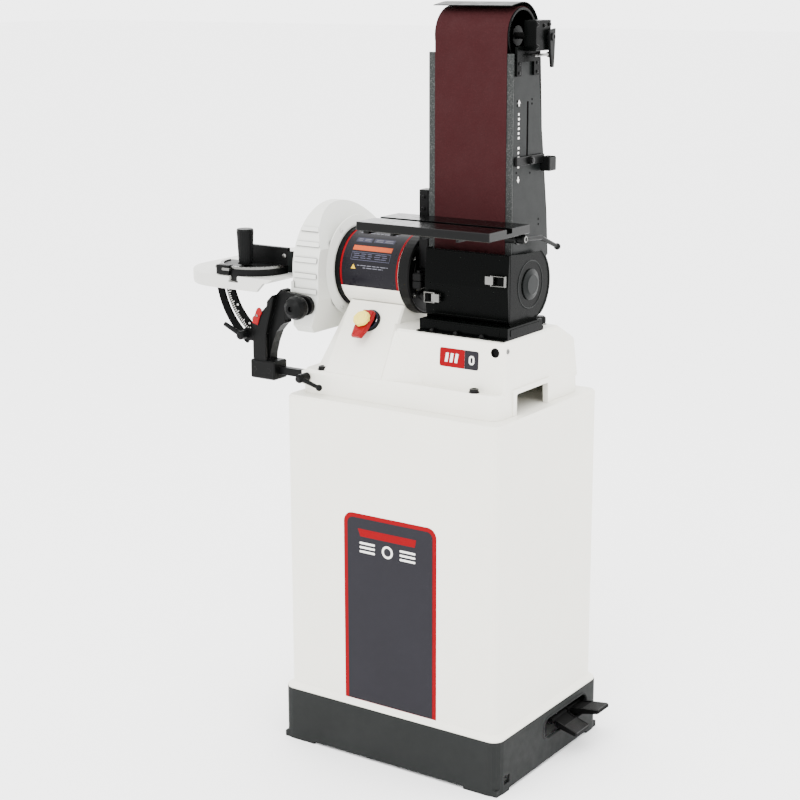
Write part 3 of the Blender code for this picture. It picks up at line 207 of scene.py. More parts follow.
# near black: painted shade on the sheets and spots put in holes, vents, openings and behind the pedals;
# also the print of the miter scale ticks
shadow = surface("dark_recess", grey(0.0006), 0.8, vary=0.1, specular=0.02)
label_dark = surface("label_dark", (0.0105, 0.01, 0.0128), 0.4, vary=0.03, grain=0.00001, specular=0.07)
motor_label_dark = surface("motor_label_dark", (0.0052, 0.0048, 0.0068), 0.3, vary=0.03, specular=0.08)
label_red = surface("label_red", (0.15, 0.0008, 0.0036), 0.4, vary=0.03, specular=0.03)
label_white = surface("label_white", (0.64, 0.63, 0.6), 0.4, vary=0.02, specular=0.3)
label_orange = surface("label_orange", (0.33, 0.052, 0.012), 0.36, vary=0.03, specular=0.08)
label_yellow = surface("label_yellow", (0.5, 0.32, 0.012), 0.36, vary=0.03, specular=0.08)
label_print = surface("label_print", (0.11, 0.11, 0.13), 0.36, vary=0.03, specular=0.08)
# lighter grey on the pedals' rubber ridges: a painted highlight
tread_ridge_highlight = surface("tread_ridge_highlight", (0.013, 0.013, 0.0128), 0.5, vary=0.15, specular=0.1)
label_blue = surface("label_blue", (0.02, 0.02, 0.034), 0.36, vary=0.03, specular=0.1)
label_line = surface("label_line", (0.055, 0.055, 0.085), 0.36, vary=0.03, specular=0.1)


def abrasive(name, colour, scale):
    """Coated abrasive: grains stand out of the bond and catch the light."""
    mat = surface(name, colour, 0.78, vary=0.07, vary_scale=5, rough_vary=0.1, specular=0.06,
                  speck=(tuple(min(1.0, c * 1.8 + 0.003) for c in colour), scale, 0.6))
    tree = mat.node_tree
    cells = add_node(tree, "TexVoronoi", Scale=scale * 0.9)
    tree.links.new(tree.nodes.new("ShaderNodeTexCoord").outputs["Object"], cells.inputs["Vector"])
    add_bump(tree, cells.outputs["Distance"], 0.0003, 0.8)
    return mat


belt_grit = abrasive("belt_abrasive", (0.0205, 0.0044, 0.005), 1100)
disc_grit = abrasive("disc_abrasive", (0.019, 0.0046, 0.0048), 1000)

CAD_MATERIALS = {
    plinth_grey: ["plinth"],
    white_sheet: ["cabinet", "cabinet_rear_panel"],
    white_cast: ["base_casting", "motor_housing"],
    white_moulded: ["disc_guard"],
    black_cast: ["motor_bell_left", "motor_bell_right", "table_bracket", "support_bar", "caster_frame",
                 "arm_pivot_bracket", "miter_head", "miter_fence", "belt_table_hinge", "tension_handle"],
    black_sheet: ["dust_housing", "housing_door", "arm_back_cover", "tilt_quadrant", "tracking_bracket",
                  "idler_bracket_left"],
    grey_sheet: ["arm_plate_left", "arm_plate_right", "top_guard", "pivot_cap"],
    black_plastic: ["base_lock_lever", "tilt_lock_lever", "bracket_knob", "miter_handle",
                    "belt_table_lever", "arm_lock_knob", "switch_bezel", "tracking_handle"],
    rubber: ["lift_pedal", "release_pedal", "wheelset_left", "wheelset_right"],
    red_plastic: ["switch_paddle"],
    yellow_plastic: ["switch_key"],
    table_top: ["disc_table"],
    machined: ["disc_plate", "drive_drum"],
    drum_black: ["idler_drum"],
    black_table: ["belt_table"],
    steel: ["motor_shaft", "rotor_core", "arm_pivot_bush", "tension_spring"],
    zinc: ["bearing_left", "bearing_right", "tracking_screw", "latch_left", "latch_right"],
    platen_steel: ["platen"],
    copper: ["stator_core"],
    black_oxide: ["miter_bar", "idler_axle"],
    belt_grit: ["abrasive_belt"],
    disc_grit: ["disc_abrasive"],
}
# each part of the imported model gets its finish in every material slot
for finish, names in CAD_MATERIALS.items():
    for node_name in names:
        for holder in NODES[node_name].material_slots:
            holder.material = finish


# ---- mesh tools ----------------------------------------------------------------------
def piece(name, bm, material, body="stand"):
    """Turn a bmesh built in place into an object that rides on a body, in its finish's slot."""
    bmesh.ops.recalc_face_normals(bm, faces=bm.faces)
    mesh = bpy.data.meshes.new(name)
    bm.to_mesh(mesh)
    bm.free()
    mesh.materials.append(material)
    mesh.shade_smooth()
    mesh.set_sharp_from_angle(angle=SHARP_ANGLE)
    obj = bpy.data.objects.new(name, mesh)
    bpy.context.scene.collection.objects.link(obj)
    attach(obj, body)


def bridge(bm, rings, closed=True, loop=False, caps=False):
    """Join rings of vertices with quads.

    closed: each ring meets its own start.  loop: the last ring meets the first.
    caps: a face fills the first and the last ring.
    """
    if caps:
        bm.faces.new(rings[0])
        bm.faces.new(rings[-1])
    for first, second in zip(rings, rings[1:] + rings[:1] if loop else rings[1:]):
        count = len(first)
        for i in range(count if closed else count - 1):
            j = (i + 1) % count
            bm.faces.new((first[i], first[j], second[j], second[i]))


def radial(shape, radius, angle):
    """Radius of a round, hexagonal or cross-shaped ring at an angle."""
    if shape == "hex":
        return radius / cos((angle + pi / 6) % (pi / 3) - pi / 6)
    if shape == "cross":
        a, b = abs(sin(angle)), abs(cos(angle))
        return min(radius / max(a, b), 0.28 * radius / max(min(a, b), 1e-6))
    if shape == "scallop":
        return radius * (1 + 0.045 * cos(8 * angle))
    return radius


def lathe(bm, profile, at, axis, steps=24):
    """Turn (along, radius[, shape]) rows about an axis; rows of radius 0 close the ends."""
    spot = Matrix.Translation(at) @ Z.rotation_difference(Vector(axis)).to_matrix().to_4x4()
    previous = None
    for row in profile:
        along, radius = row[0], row[1]
        shape = row[2] if len(row) > 2 else None
        if radius < 1e-9:
            ring = [bm.verts.new(spot @ Vector((0, 0, along)))] * steps
        else:
            ring = []
            for i in range(steps):
                angle = 2 * pi * i / steps
                r = radial(shape, radius, angle)
                ring.append(bm.verts.new(spot @ Vector((r * cos(angle), r * sin(angle), along))))
        if previous:
            for i in range(steps):
                j = (i + 1) % steps
                corners = []
                for vert in (previous[i], previous[j], ring[j], ring[i]):
                    if vert not in corners:
                        corners.append(vert)
                if len(corners) > 2:
                    bm.faces.new(corners)
        previous = ring


def socket_screw(bm, at, axis, radius, height):
    """Socket head cap screw standing on a washer."""
    r, h = radius, height
    lathe(bm, [(0, 0), (0, r * 1.35), (h * 0.16, r * 1.35), (h * 0.16, r), (h * 0.86, r), (h, r * 0.88),
               (h, r * 0.55, "hex"), (h * 0.45, r * 0.52, "hex"), (h * 0.45, 0)], at, axis)


def pan_screw(bm, at, axis, radius, height):
    """Pan head screw with a cross recess."""
    r, h = radius, height
    lathe(bm, [(0, 0), (0, r), (h * 0.45, r), (h * 0.8, r * 0.85), (h, r * 0.62), (h, r * 0.52, "cross"),
               (h * 0.4, r * 0.4, "cross"), (h * 0.4, 0)], at, axis)


def hex_nut(bm, at, axis, radius, height):
    """Hexagon nut on a washer, with the end of its bolt."""
    r, h = radius, height
    lathe(bm, [(0, 0), (0, r * 1.25), (h * 0.2, r * 1.25), (h * 0.2, r, "hex"), (h * 0.85, r, "hex"),
               (h, r * 0.92), (h, r * 0.5), (h * 1.25, r * 0.42), (h * 1.25, 0)], at, axis)


def fasteners(name, make, places, axis, size, material, body="stand"):
    """One piece of several alike screws or nuts; size is (radius, height)."""
    bm = bmesh.new()
    for at in places:
        make(bm, at, axis, *size)
    piece(name, bm, material, body)


def disc(bm, at, axis, radius, top, steps):
    """A thin round spot that lies on a face."""
    lathe(bm, [(SKIN, 0), (SKIN, radius), (top, radius), (top, 0)], at, axis, steps)


def sunk_screw(bm, at, axis, rim, lip, socket, rise, sink):
    """A low domed rim with a hexagon socket sunk in it, for the hub of a lever."""
    lathe(bm, [(SKIN, rim), (rise, lip), (rise, socket, "hex"), (-sink, socket - 0.0002, "hex"),
               (-sink, 0)], at, axis)


def oval(cx, cy, rx, ry, count):
    """The outline of an ellipse."""
    return [(cx + rx * cos(2 * pi * i / count), cy + ry * sin(2 * pi * i / count)) for i in range(count)]


def rounded(x0, x1, y0, y1, radii, steps=6):
    """A rectangle with one radius, or one each: right-top, left-top, left-bottom, right-bottom."""
    if not isinstance(radii, tuple):
        radii = (radii,) * 4
    points = []
    corners = ((x1, y1, -1, -1), (x0, y1, 1, -1), (x0, y0, 1, 1), (x1, y0, -1, 1))
    for k, (cx, cy, sx, sy) in enumerate(corners):
        for i in range(steps + 1):
            angle = pi / 2 * (k + i / steps)
            points.append((cx + radii[k] * (sx + cos(angle)), cy + radii[k] * (sy + sin(angle))))
    return points


def slab(bm, outline, origin, across, up, thick, start=SKIN, chamfer=0.0):
    """Extrude an outline given in the (across, up) plane at origin, outwards by thick."""
    across, up = Vector(across).normalized(), Vector(up).normalized()
    out = across.cross(up)
    centre = [sum(p[k] for p in outline) / len(outline) for k in (0, 1)]

    def level(height, inset):
        ring = []
        for a, b in outline:
            offset = Vector((a - centre[0], b - centre[1]))
            if inset and offset.length > inset:
                offset *= 1 - inset / offset.length
            ring.append(bm.verts.new(origin + across * (centre[0] + offset.x) + up * (centre[1] + offset.y)
                                     + out * height))
        return ring

    rings = [level(start, 0), level(start + thick - chamfer, 0)]
    if chamfer:
        rings.append(level(start + thick, chamfer))
    bridge(bm, rings, caps=True)


def hoop(bm, outer, inner, origin, across, up, start, rise):
    """A raised band between two outlines with the same count of points."""
    out = across.cross(up)
    top = start + rise
    levels = ((outer, start), (outer, top), (inner, top), (inner, start))
    bridge(bm, [[bm.verts.new(origin + across * a + up * b + out * height) for a, b in outline]
                for outline, height in levels], loop=True)


def wrap(bm, x0, x1, a0, a1, radius, thick, steps=24):
    """A patch on a cylinder about the shaft: x range, angle range in degrees up from the front."""
    rings = []
    for r in (radius, radius + thick):
        grid = []
        for i in range(steps + 1):
            angle = radians(a0 + (a1 - a0) * i / steps)
            for x in (x0, x1):
                grid.append(bm.verts.new(m(x, -r * cos(angle), SHAFT_Z + r * sin(angle))))
        rings.append(grid)
    low, high = rings
    for i in range(steps):
        a, b, c, d = 2 * i, 2 * i + 1, 2 * i + 3, 2 * i + 2
        bm.faces.new((low[a], low[b], low[c], low[d]))
        bm.faces.new((high[a], high[b], high[c], high[d]))
        bm.faces.new((low[a], low[d], high[d], high[a]))
        bm.faces.new((low[b], low[c], high[c], high[b]))
    for i in (0, 2 * steps):
        bm.faces.new((low[i], low[i + 1], high[i + 1], high[i]))


def wire(bm, points, radius, closed=False, steps=8):
    """A round wire through the points."""
    points = [Vector(p) for p in points]
    count = len(points)
    rings = []
    side = None
    for i, point in enumerate(points):
        before = points[i - 1] if i or closed else None
        after = points[(i + 1) % count] if i < count - 1 or closed else None
        first = (point - before).normalized() if before is not None else (after - point).normalized()
        second = (after - point).normalized() if after is not None else first
        along = (first + second).normalized()
        if side is None:
            side = along.orthogonal().normalized()
        side = (side - along * side.dot(along)).normalized()
        other = along.cross(side)
        stretch = 1 / max(0.5, along.dot(first))
        ring = []
        for k in range(steps):
            angle = 2 * pi * k / steps
            ring.append(bm.verts.new(point + (side * cos(angle) + other * sin(angle)) * radius * stretch))
        rings.append(ring)
    bridge(bm, rings, loop=closed, caps=not closed)


def block(bm, low, high, chamfer=0.0):
    """A block with chamfered edges between two corners."""
    made = bmesh.ops.create_cube(bm, size=1.0)["verts"]
    size = [b - a for a, b in zip(low, high)]
    middle = [(a + b) / 2 for a, b in zip(low, high)]
    for vert in made:
        vert.co = Vector([middle[k] + vert.co[k] * size[k] for k in range(3)])
    if chamfer:
        edges = list({e for v in made for e in v.link_edges})
        bmesh.ops.bevel(bm, geom=edges, offset=chamfer, segments=2, profile=0.6, affect="EDGES")


# ---- cabinet -------------------------------------------------------------------------
CABINET_FRONT = -0.188


def cabinet_label():
    """Dark panel with a red border, a red bar and a plain emblem of a disc and a belt."""
    origin = m(0, CABINET_FRONT, 0)
    left, right, low, high = -0.103, 0.109, 0.118, 0.5

    def outline(inset, corner):
        return rounded(left + inset, right - inset, low + inset * 0.2, high - inset,
                       (corner, corner, 0.001, 0.001))

    bm = bmesh.new()
    slab(bm, outline(0, 0.02), origin, X, Z, 0.00035)
    piece("cabinet_label_border", bm, label_red)
    bm = bmesh.new()
    slab(bm, outline(0.0085, 0.013), origin, X, Z, 0.0004, start=SKIN + 0.00025)
    piece("cabinet_label_face", bm, label_dark)
    start = SKIN + 0.0006
    bm = bmesh.new()
    bar = [(-0.064, 0.4555), (0.061, 0.4555), (0.064, 0.4705), (-0.0695, 0.4705)]
    slab(bm, bar, origin, X, Z, 0.0003, start)
    piece("cabinet_label_bar", bm, label_red)
    bm = bmesh.new()
    for x0, x1 in ((-0.0655, -0.0305), (0.027, 0.062)):
        for z in (0.4255, 0.434, 0.4425):
            slab(bm, rounded(x0, x1, z - 0.0021, z + 0.0021, 0.0012, 3), origin, X, Z, 0.0003, start)
    outer, inner = (oval(-0.0015, 0.434, r, r, 32) for r in (0.0125, 0.0082))
    hoop(bm, outer, inner, origin, X, Z, start, 0.0003)
    piece("cabinet_label_emblem", bm, label_white)


def cabinet_back():
    """Screws and louvres of the rear panel."""
    low, high, _ = size_and_place("cabinet_rear_panel")
    places = [Vector((x, high.y, z)) for x in (low.x + 0.012, high.x - 0.012)
              for z in (low.z + 0.014, (low.z + high.z) / 2, high.z - 0.014)]
    fasteners("rear_panel_screws", pan_screw, places, Y, (0.0042, 0.0026), zinc)
    bm = bmesh.new()
    centre, half = (low.x + high.x) / 2, 0.06
    for k in range(7):
        z = high.z - 0.07 - k * 0.016
        louvre = rounded(-centre - half, -centre + half, z - 0.0035, z + 0.0035, 0.0034, 4)
        slab(bm, louvre, Vector((0, high.y, 0)), -X, Z, 0.0018, chamfer=0.0012)
    piece("rear_panel_louvres", bm, white_sheet)


def plinth_and_pedals():
    """Rim of the pedal opening, the pedals' treads and side cheeks, caps on the wheels."""
    bm = bmesh.new()
    block(bm, m(0.1726, -0.15, 0.013), m(0.1746, 0.165, 0.101), 0.0004)
    piece("pedal_box", bm, shadow)
    bm = bmesh.new()
    opening = rounded(-0.0262, 0.1532, 0.046, 0.096, 0.022, 6)
    inner = rounded(-0.0226, 0.1496, 0.0496, 0.0924, 0.0185, 6)
    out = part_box("plinth")[1].x + SKIN
    rings = []
    for outline, x in ((opening, out), (opening, out + 0.001), (inner, out + 0.001), (inner, out - 0.004)):
        rings.append([bm.verts.new((x, a, b)) for a, b in outline])
    bridge(bm, rings)
    piece("pedal_opening_rim", bm, plinth_grey)
    hinge = m(0.236, 0, 0.068)
    ridge = [(-0.0012, 0.0), (0.0012, 0.0), (0.0006, 0.0022), (-0.0006, 0.0022)]
    ridges, above_pad = 11, 0.0029
    for node in ("lift_pedal", "release_pedal"):
        low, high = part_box(node)
        pad_y0, pad_y1 = low.y + 0.004, high.y - 0.004
        tip = Vector((high.x - 0.0004, 0, high.z - 0.003 if node == "lift_pedal" else low.z + 0.003))
        along = Vector((tip.x - hinge.x, 0, tip.z - hinge.z))
        length = along.length
        along.normalize()
        up = Vector((-along.z, 0, along.x))
        bm = bmesh.new()
        for k in range(ridges):
            at = hinge + along * (length * (0.5 + 0.475 * k / (ridges - 1))) + up * above_pad
            ends = [[bm.verts.new(at + Y * y + along * a + up * b) for a, b in ridge]
                    for y in (pad_y0 + 0.0015, pad_y1 - 0.0015)]
            bridge(bm, ends, caps=True)
        piece(f"{node}_ridges", bm, tread_ridge_highlight, node)
        bm = bmesh.new()
        for y in (pad_y0, pad_y1):
            a = hinge + along * 0.01 + Y * y
            b = hinge + along * (length * 0.97) + Y * y
            sides = [[bm.verts.new(p + Y * dy + up * h)
                      for p, h in ((a, -0.007), (b, -0.0034), (b, 0.0044), (a, 0.005))]
                     for dy in (-0.0012, 0.0012)]
            bridge(bm, sides, caps=True)
        piece(f"{node}_cheeks", bm, black_cast, node)
    for side in ("left", "right"):
        low, high, centre = size_and_place(f"wheelset_{side}")
        bm = bmesh.new()
        for y, axis in ((high.y, Y), (low.y, -Y)):
            lathe(bm, [(0, 0.0145), (0.0006, 0.014), (0.0006, 0.0085), (0.002, 0.0065), (0.002, 0)],
                  Vector((centre.x, y, centre.z)), axis)
        piece(f"wheel_caps_{side}", bm, zinc, f"wheels_{side}")


# ---- base casting --------------------------------------------------------------------
BOX_FRONT_LOW = (-0.1245, 0.74)      # y and z of the box front's lower and upper edge
BOX_FRONT_HIGH = (-0.118, 0.852)
LEVER_X = -0.212                     # the lock lever of the support bar


def box_front(z):
    share = (z - BOX_FRONT_LOW[1]) / (BOX_FRONT_HIGH[1] - BOX_FRONT_LOW[1])
    return BOX_FRONT_LOW[0] + share * (BOX_FRONT_HIGH[0] - BOX_FRONT_LOW[0])


def base_details():
    """Bolts of the base flange, the badge, the plug and screws, and the lock lever's screw."""
    flange_top = 0.757
    bm = bmesh.new()
    for x, y in ((0.1575, -0.1385), (-0.186, -0.1385), (0.1575, 0.1445), (-0.186, 0.1445)):
        at = m(x, y, flange_top)
        lathe(bm, [(SKIN, 0), (SKIN, 0.01), (0.0016, 0.01), (0.0016, 0.0086), (0.006, 0.0086),
                   (0.0074, 0.0074), (0.0074, 0.0046, "hex"), (0.003, 0.0044, "hex"), (0.003, 0)], at, Z)
    piece("base_bolts", bm, black_oxide)
    slope = Vector((0, BOX_FRONT_HIGH[0] - BOX_FRONT_LOW[0],
                    BOX_FRONT_HIGH[1] - BOX_FRONT_LOW[1])).normalized()
    middle = 0.8115
    origin = m(0, box_front(middle), middle)
    half, thick, outer, inner = 0.0175, 0.0005, 0.004, 0.0008
    bm = bmesh.new()
    plate = rounded(0.0715, 0.1255, -half, half, (inner, outer, outer, inner), 4)
    slab(bm, plate, origin, X, slope, thick)
    piece("badge_red", bm, label_red)
    bm = bmesh.new()
    plate = rounded(0.126, 0.1555, -half, half, (outer, inner, inner, outer), 4)
    slab(bm, plate, origin, X, slope, thick)
    piece("badge_dark", bm, label_dark)
    bm = bmesh.new()
    mark = 0.0085                     # half the height of the bars and the ring
    for k in range(3):
        x = 0.083 + k * 0.0105
        bar = [(x, -mark), (x + 0.0058, -mark), (x + 0.0083, mark), (x + 0.0025, mark)]
        slab(bm, bar, origin, X, slope, 0.0002, start=SKIN + thick)
    hoop(bm, rounded(0.1352, 0.1468, -mark, mark, 0.0055), rounded(0.1385, 0.1435, -0.0052, 0.0052, 0.0024),
         origin, X, slope, SKIN + thick, 0.0002)
    piece("badge_marks", bm, label_white)
    bm = bmesh.new()
    lathe(bm, [(-0.002, 0.0086), (0.0004, 0.009), (0.0009, 0.0084), (0.0009, 0.0074), (-0.006, 0.007),
               (-0.008, 0)], m(0.19, box_front(0.831), 0.831), (0, -1, 0.058))
    piece("base_hole_plug", bm, black_plastic)
    bm = bmesh.new()
    pan_screw(bm, m(0.2113, -0.1105, 0.8345), X, 0.0048, 0.0022)
    pan_screw(bm, m(LEVER_X + 0.0015, -0.1541, 0.737), -Y, 0.004, 0.0022)
    piece("base_screws", bm, zinc)
    bm = bmesh.new()
    at = m(LEVER_X, -0.1545, 0.743)
    lathe(bm, [(0.0302, 0), (0.0302, 0.0052), (0.0308, 0.0046, "hex"), (0.029, 0.0034, "hex"), (0.029, 0)],
          at, -Y)
    piece("base_lock_lever_screw", bm, black_oxide, "base_lock_lever")


def switch_details():
    """Ring round the switch in a painted blue highlight, marks round the switch, grip of the safety key,
    dimple of the stop paddle.
    """
    slope = Vector((0, -0.796, 0.605)).normalized()
    up = Vector((0, slope.z, -slope.y))
    centre = m(-0.115, -0.0794, 0.85)
    bm = bmesh.new()
    lathe(bm, [(0.0067, 0.0178), (0.0073, 0.0184), (0.0075, 0.0196), (0.0072, 0.0208), (0.0066, 0.0212)],
          centre, slope, 40)
    # the ring's blue-grey colour is a painted highlight on the black bezel
    bezel_highlight = surface("switch_blue_grey", (0.008, 0.01, 0.018), 0.28, vary=0.04, specular=0.1)
    piece("switch_ring", bm, bezel_highlight)
    bm = bmesh.new()
    for side in (-1, 1):
        at = centre + X * (side * 0.0192)
        slab(bm, rounded(-0.0006, 0.0006, -0.003, 0.003, 0.0005, 2), at, X, up, 0.0001, start=0.00755)
    piece("switch_marks", bm, label_white)
    axis = (slope + up * 0.18).normalized()
    base = centre + up * -0.01 + slope * 0.0233
    groove, rib = 0.0148, 0.0162
    bm = bmesh.new()
    for k in range(3):
        z = 0.0016 + 0.0028 * k
        lathe(bm, [(z, groove), (z + 0.0006, rib, "scallop"), (z + 0.0016, rib, "scallop"),
                   (z + 0.0022, groove)], base, axis, 48)
    lathe(bm, [(0.0108, 0.0098), (0.0118, 0.0092), (0.0118, 0.0066), (0.0108, 0.006)], base, axis, 32)
    piece("switch_key_grip", bm, yellow_plastic, "switch_key")
    bm = bmesh.new()
    tip = centre + up * -0.04 + slope * 0.0268
    lathe(bm, [(-0.0004, 0.0082), (0.0012, 0.0076), (0.0012, 0.0054), (-0.0002, 0.0048)], tip,
          (slope + up * 0.22).normalized())
    piece("switch_paddle_dimple", bm, red_plastic, "switch_paddle")


# ---- motor ---------------------------------------------------------------------------
def motor_details():
    """The label wrapped on the motor tube, bolts and ribs of the right bell, vents of the left."""
    radius = 0.0765 + SKIN
    label_thick, ink = 0.0003, 0.0001
    x0, x1, border = -0.1878, -0.0528, 0.0042
    low, high = -20, 100              # degrees up from the front
    bm = bmesh.new()
    wrap(bm, x0, x0 + border, low, high, radius, label_thick)
    wrap(bm, x1 - border, x1, low, high, radius, label_thick)
    piece("motor_label_red", bm, label_red)
    bm = bmesh.new()
    wrap(bm, x0 + border, x1 - border, low, high, radius, label_thick, 40)
    piece("motor_label_face", bm, motor_label_dark)
    top = radius + label_thick
    bm = bmesh.new()
    wrap(bm, -0.1655, -0.0755, 34, 41.5, top, ink)
    piece("motor_label_orange", bm, label_orange)
    bm = bmesh.new()
    wrap(bm, -0.1662, -0.13, 47.5, 56, top, ink)
    wrap(bm, -0.1255, -0.0785, 48.5, 56, top, ink)
    piece("motor_label_blocks", bm, label_blue)
    bm = bmesh.new()
    for a in (19.0, 30.6):
        wrap(bm, -0.165, -0.075, a, a + 0.6, top, ink)
    for x in (-0.165, -0.0755):
        wrap(bm, x, x + 0.00055, 19.0, 31.2, top, ink)
    for k, a in enumerate((22.0, 25.0, 28.0)):
        for j in range(5):
            start = -0.161 + j * 0.0165 + 0.002 * ((k + j) % 2)
            wrap(bm, start, start + 0.0135 - 0.002 * (j % 3), a, a + 0.9, top, ink, 4)
    piece("motor_label_lines", bm, label_line)
    bm = bmesh.new()
    for a, start, stop in ((67.0, -0.169, -0.083), (11.2, -0.148, -0.076), (8.0, -0.134, -0.087)):
        x, k = start, 0
        while x < stop:
            end = min(stop, x + 0.006 + 0.0022 * ((k * 7) % 4))
            wrap(bm, x, end, a, a + 1.0, top, ink, 4)
            x = end + 0.0022
            k += 1
    for x, width in ((-0.162, 0.01), (-0.147, 0.013), (-0.121, 0.016), (-0.1, 0.018)):
        for a in (50.2, 53.0):
            wrap(bm, x, x + width, a, a + 0.8, top + ink, ink, 4)
    piece("motor_label_print", bm, label_print)
    bm = bmesh.new()
    rows = 10
    for k in range(rows):
        half = 0.0052 * (1 - k / rows)
        a = 6.2 + 6.6 * k / rows
        wrap(bm, -0.1564 - half, -0.1564 + half, a, a + 6.6 / rows, top, ink, 2)
    piece("motor_label_triangle", bm, label_yellow)

    face, bolt_circle = m(-0.0296, 0, SHAFT_Z), 0.066
    places = [face + X * SKIN + (Y * cos(radians(a)) + Z * sin(radians(a))) * bolt_circle
              for a in (32, 148, 212, 328)]
    fasteners("motor_bolts", hex_nut, places, X, (0.004, 0.0035), zinc)
    bm = bmesh.new()
    lathe(bm, [(SKIN, 0.0555), (0.001, 0.055), (0.001, 0.053), (SKIN, 0.0525)], face, X, 48)
    for k in range(12):
        angle = radians(30 * k + 15)
        out = Vector((0, cos(angle), sin(angle)))
        across = Vector((0, -sin(angle), cos(angle)))
        ridge = [(-0.0012, 0.0345), (0.0012, 0.0345), (0.0012, 0.052), (-0.0012, 0.052)]
        slab(bm, ridge, face, across, out, -0.0014, start=0.0)
    piece("motor_bell_ribs", bm, black_cast)
    bm = bmesh.new()
    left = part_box("motor_bell_left")[0].x
    for k in range(10):
        angle = radians(36 * k)
        out = Vector((0, cos(angle), sin(angle)))
        vent = rounded(-0.0035, 0.0035, 0.04, 0.066, 0.0034, 4)
        slab(bm, vent, Vector((left, 0, SHAFT_Z)), out.cross(X), out, 0.0004)
    piece("motor_vents", bm, shadow)


# ---- disc side -----------------------------------------------------------------------
def guard_details():
    """The hole and screws on the guard's cone, and the mark at the centre of the disc."""
    bm = bmesh.new()
    normal = Vector((0.0815, 0, 0.0415)).normalized()
    at = m(-0.2215, 0.02, 1.0204)
    disc(bm, at, normal, 0.003, 0.0004, 16)
    piece("guard_hole", bm, shadow)
    screw_circle = 0.091
    places = [m(-0.2012, screw_circle * cos(radians(a)), SHAFT_Z + screw_circle * sin(radians(a)))
              for a in (55, 125, 235, 305)]
    fasteners("guard_screws", pan_screw, places, X, (0.0036, 0.002), white_moulded)
    bm = bmesh.new()
    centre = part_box("disc_abrasive")[0].x
    disc(bm, Vector((centre, 0, SHAFT_Z)), -X, 0.0009, 0.0002, 12)
    piece("disc_centre", bm, shadow, "rotor")


PIVOT = (-0.272, 0.9305)              # x and z of the disc table's tilt axis
QUADRANT_FRONT = -0.151
SCALE_RADIUS = 0.1415                 # outer end of the ticks on the quadrant


def quadrant_point(radius, angle):
    """x and z at an angle in degrees below the left-hand horizontal through the tilt axis."""
    return PIVOT[0] - radius * cos(radians(angle)), PIVOT[1] - radius * sin(radians(angle))


def disc_table_details():
    """Scale of the tilt quadrant and the screws under the table."""
    origin = m(0, QUADRANT_FRONT, 0)
    bm = bmesh.new()
    for k in range(26):
        angle = 8 + k * 1.8
        length = 0.0085 if k % 5 == 0 else 0.005
        x0, z0 = quadrant_point(SCALE_RADIUS, angle)
        x1, z1 = quadrant_point(SCALE_RADIUS - length, angle)
        direction = Vector((x1 - x0, z1 - z0)).normalized()
        side = Vector((-direction.y, direction.x)) * 0.0005
        tick = [(x0 + side.x, z0 + side.y), (x0 - side.x, z0 - side.y), (x1 - side.x, z1 - side.y),
                (x1 + side.x, z1 + side.y)]
        slab(bm, tick, origin, X, Z, 0.00015)
    piece("tilt_scale_ticks", bm, label_white, "disc_table")
    bm = bmesh.new()
    for angle in (10, 30, 50):
        x, z = quadrant_point(0.129, angle)
        for part in (rounded(x - 0.0016, x - 0.0004, z - 0.0018, z + 0.0018, 0.0004, 2),
                     rounded(x + 0.0004, x + 0.002, z - 0.0018, z + 0.0018, 0.0007, 2)):
            slab(bm, part, origin, X, Z, 0.00015)
    piece("tilt_scale_numbers", bm, label_white, "disc_table")
    places = [m(x, y, DISC_TOP - 0.008 - SKIN) for y in (-0.13, 0.13) for x in (-0.31, -0.34)]
    fasteners("disc_table_screws", socket_screw, places, -Z, (0.0036, 0.004), black_oxide, "disc_table")


def bracket_details():
    """The red tilt pointer and the screws of the table bracket and its knobs."""
    bm = bmesh.new()
    front = -0.1575
    for cx, cz, rx, rz in ((-0.3335, 0.8425, 0.0075, 0.0075), (-0.324, 0.859, 0.0065, 0.0085)):
        slab(bm, oval(cx, cz, rx, rz, 16), m(0, front, 0), X, Z, 0.003, chamfer=0.001)
    outline = [(-0.342, 0.8355), (-0.3285, 0.832), (-0.317, 0.864), (-0.33, 0.864)]
    slab(bm, outline, m(0, front, 0), X, Z, 0.0018, chamfer=0.0006)
    piece("tilt_pointer", bm, red_plastic, "table_support")
    fasteners("tilt_pointer_screw", pan_screw, [m(-0.3285, front - 0.0034, 0.851)], -Y, (0.0026, 0.0014),
              zinc, "table_support")
    bm = bmesh.new()
    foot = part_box("table_bracket")[0].y
    for x in (-0.337, -0.302):
        lathe(bm, [(-0.0002, 0.0048), (0.0002, 0.0046), (-0.0002, 0.0034, "hex"), (-0.003, 0.0032, "hex"),
                   (-0.003, 0)], m(x, foot, 0.744), -Y)
    piece("bracket_set_screws", bm, black_oxide, "table_support")
    bm = bmesh.new()
    knob = m(-0.2265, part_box("bracket_knob")[0].y, 0.878)
    lathe(bm, [(-0.0046, 0), (-0.0046, 0.0036), (-0.0036, 0.004), (0.0002, 0.0058), (-0.0008, 0.0066)],
          knob, -Y)
    piece("bracket_knob_dimple", bm, shadow, "bracket_knob")
    bm = bmesh.new()
    stud = quadrant_point(0.148, 54)
    at = m(stud[0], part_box("tilt_lock_lever")[0].y, stud[1])
    sunk_screw(bm, at, -Y, 0.0056, 0.0048, 0.0034, 0.0006, 0.0012)
    piece("tilt_lock_screw", bm, black_oxide, "tilt_lock_lever")


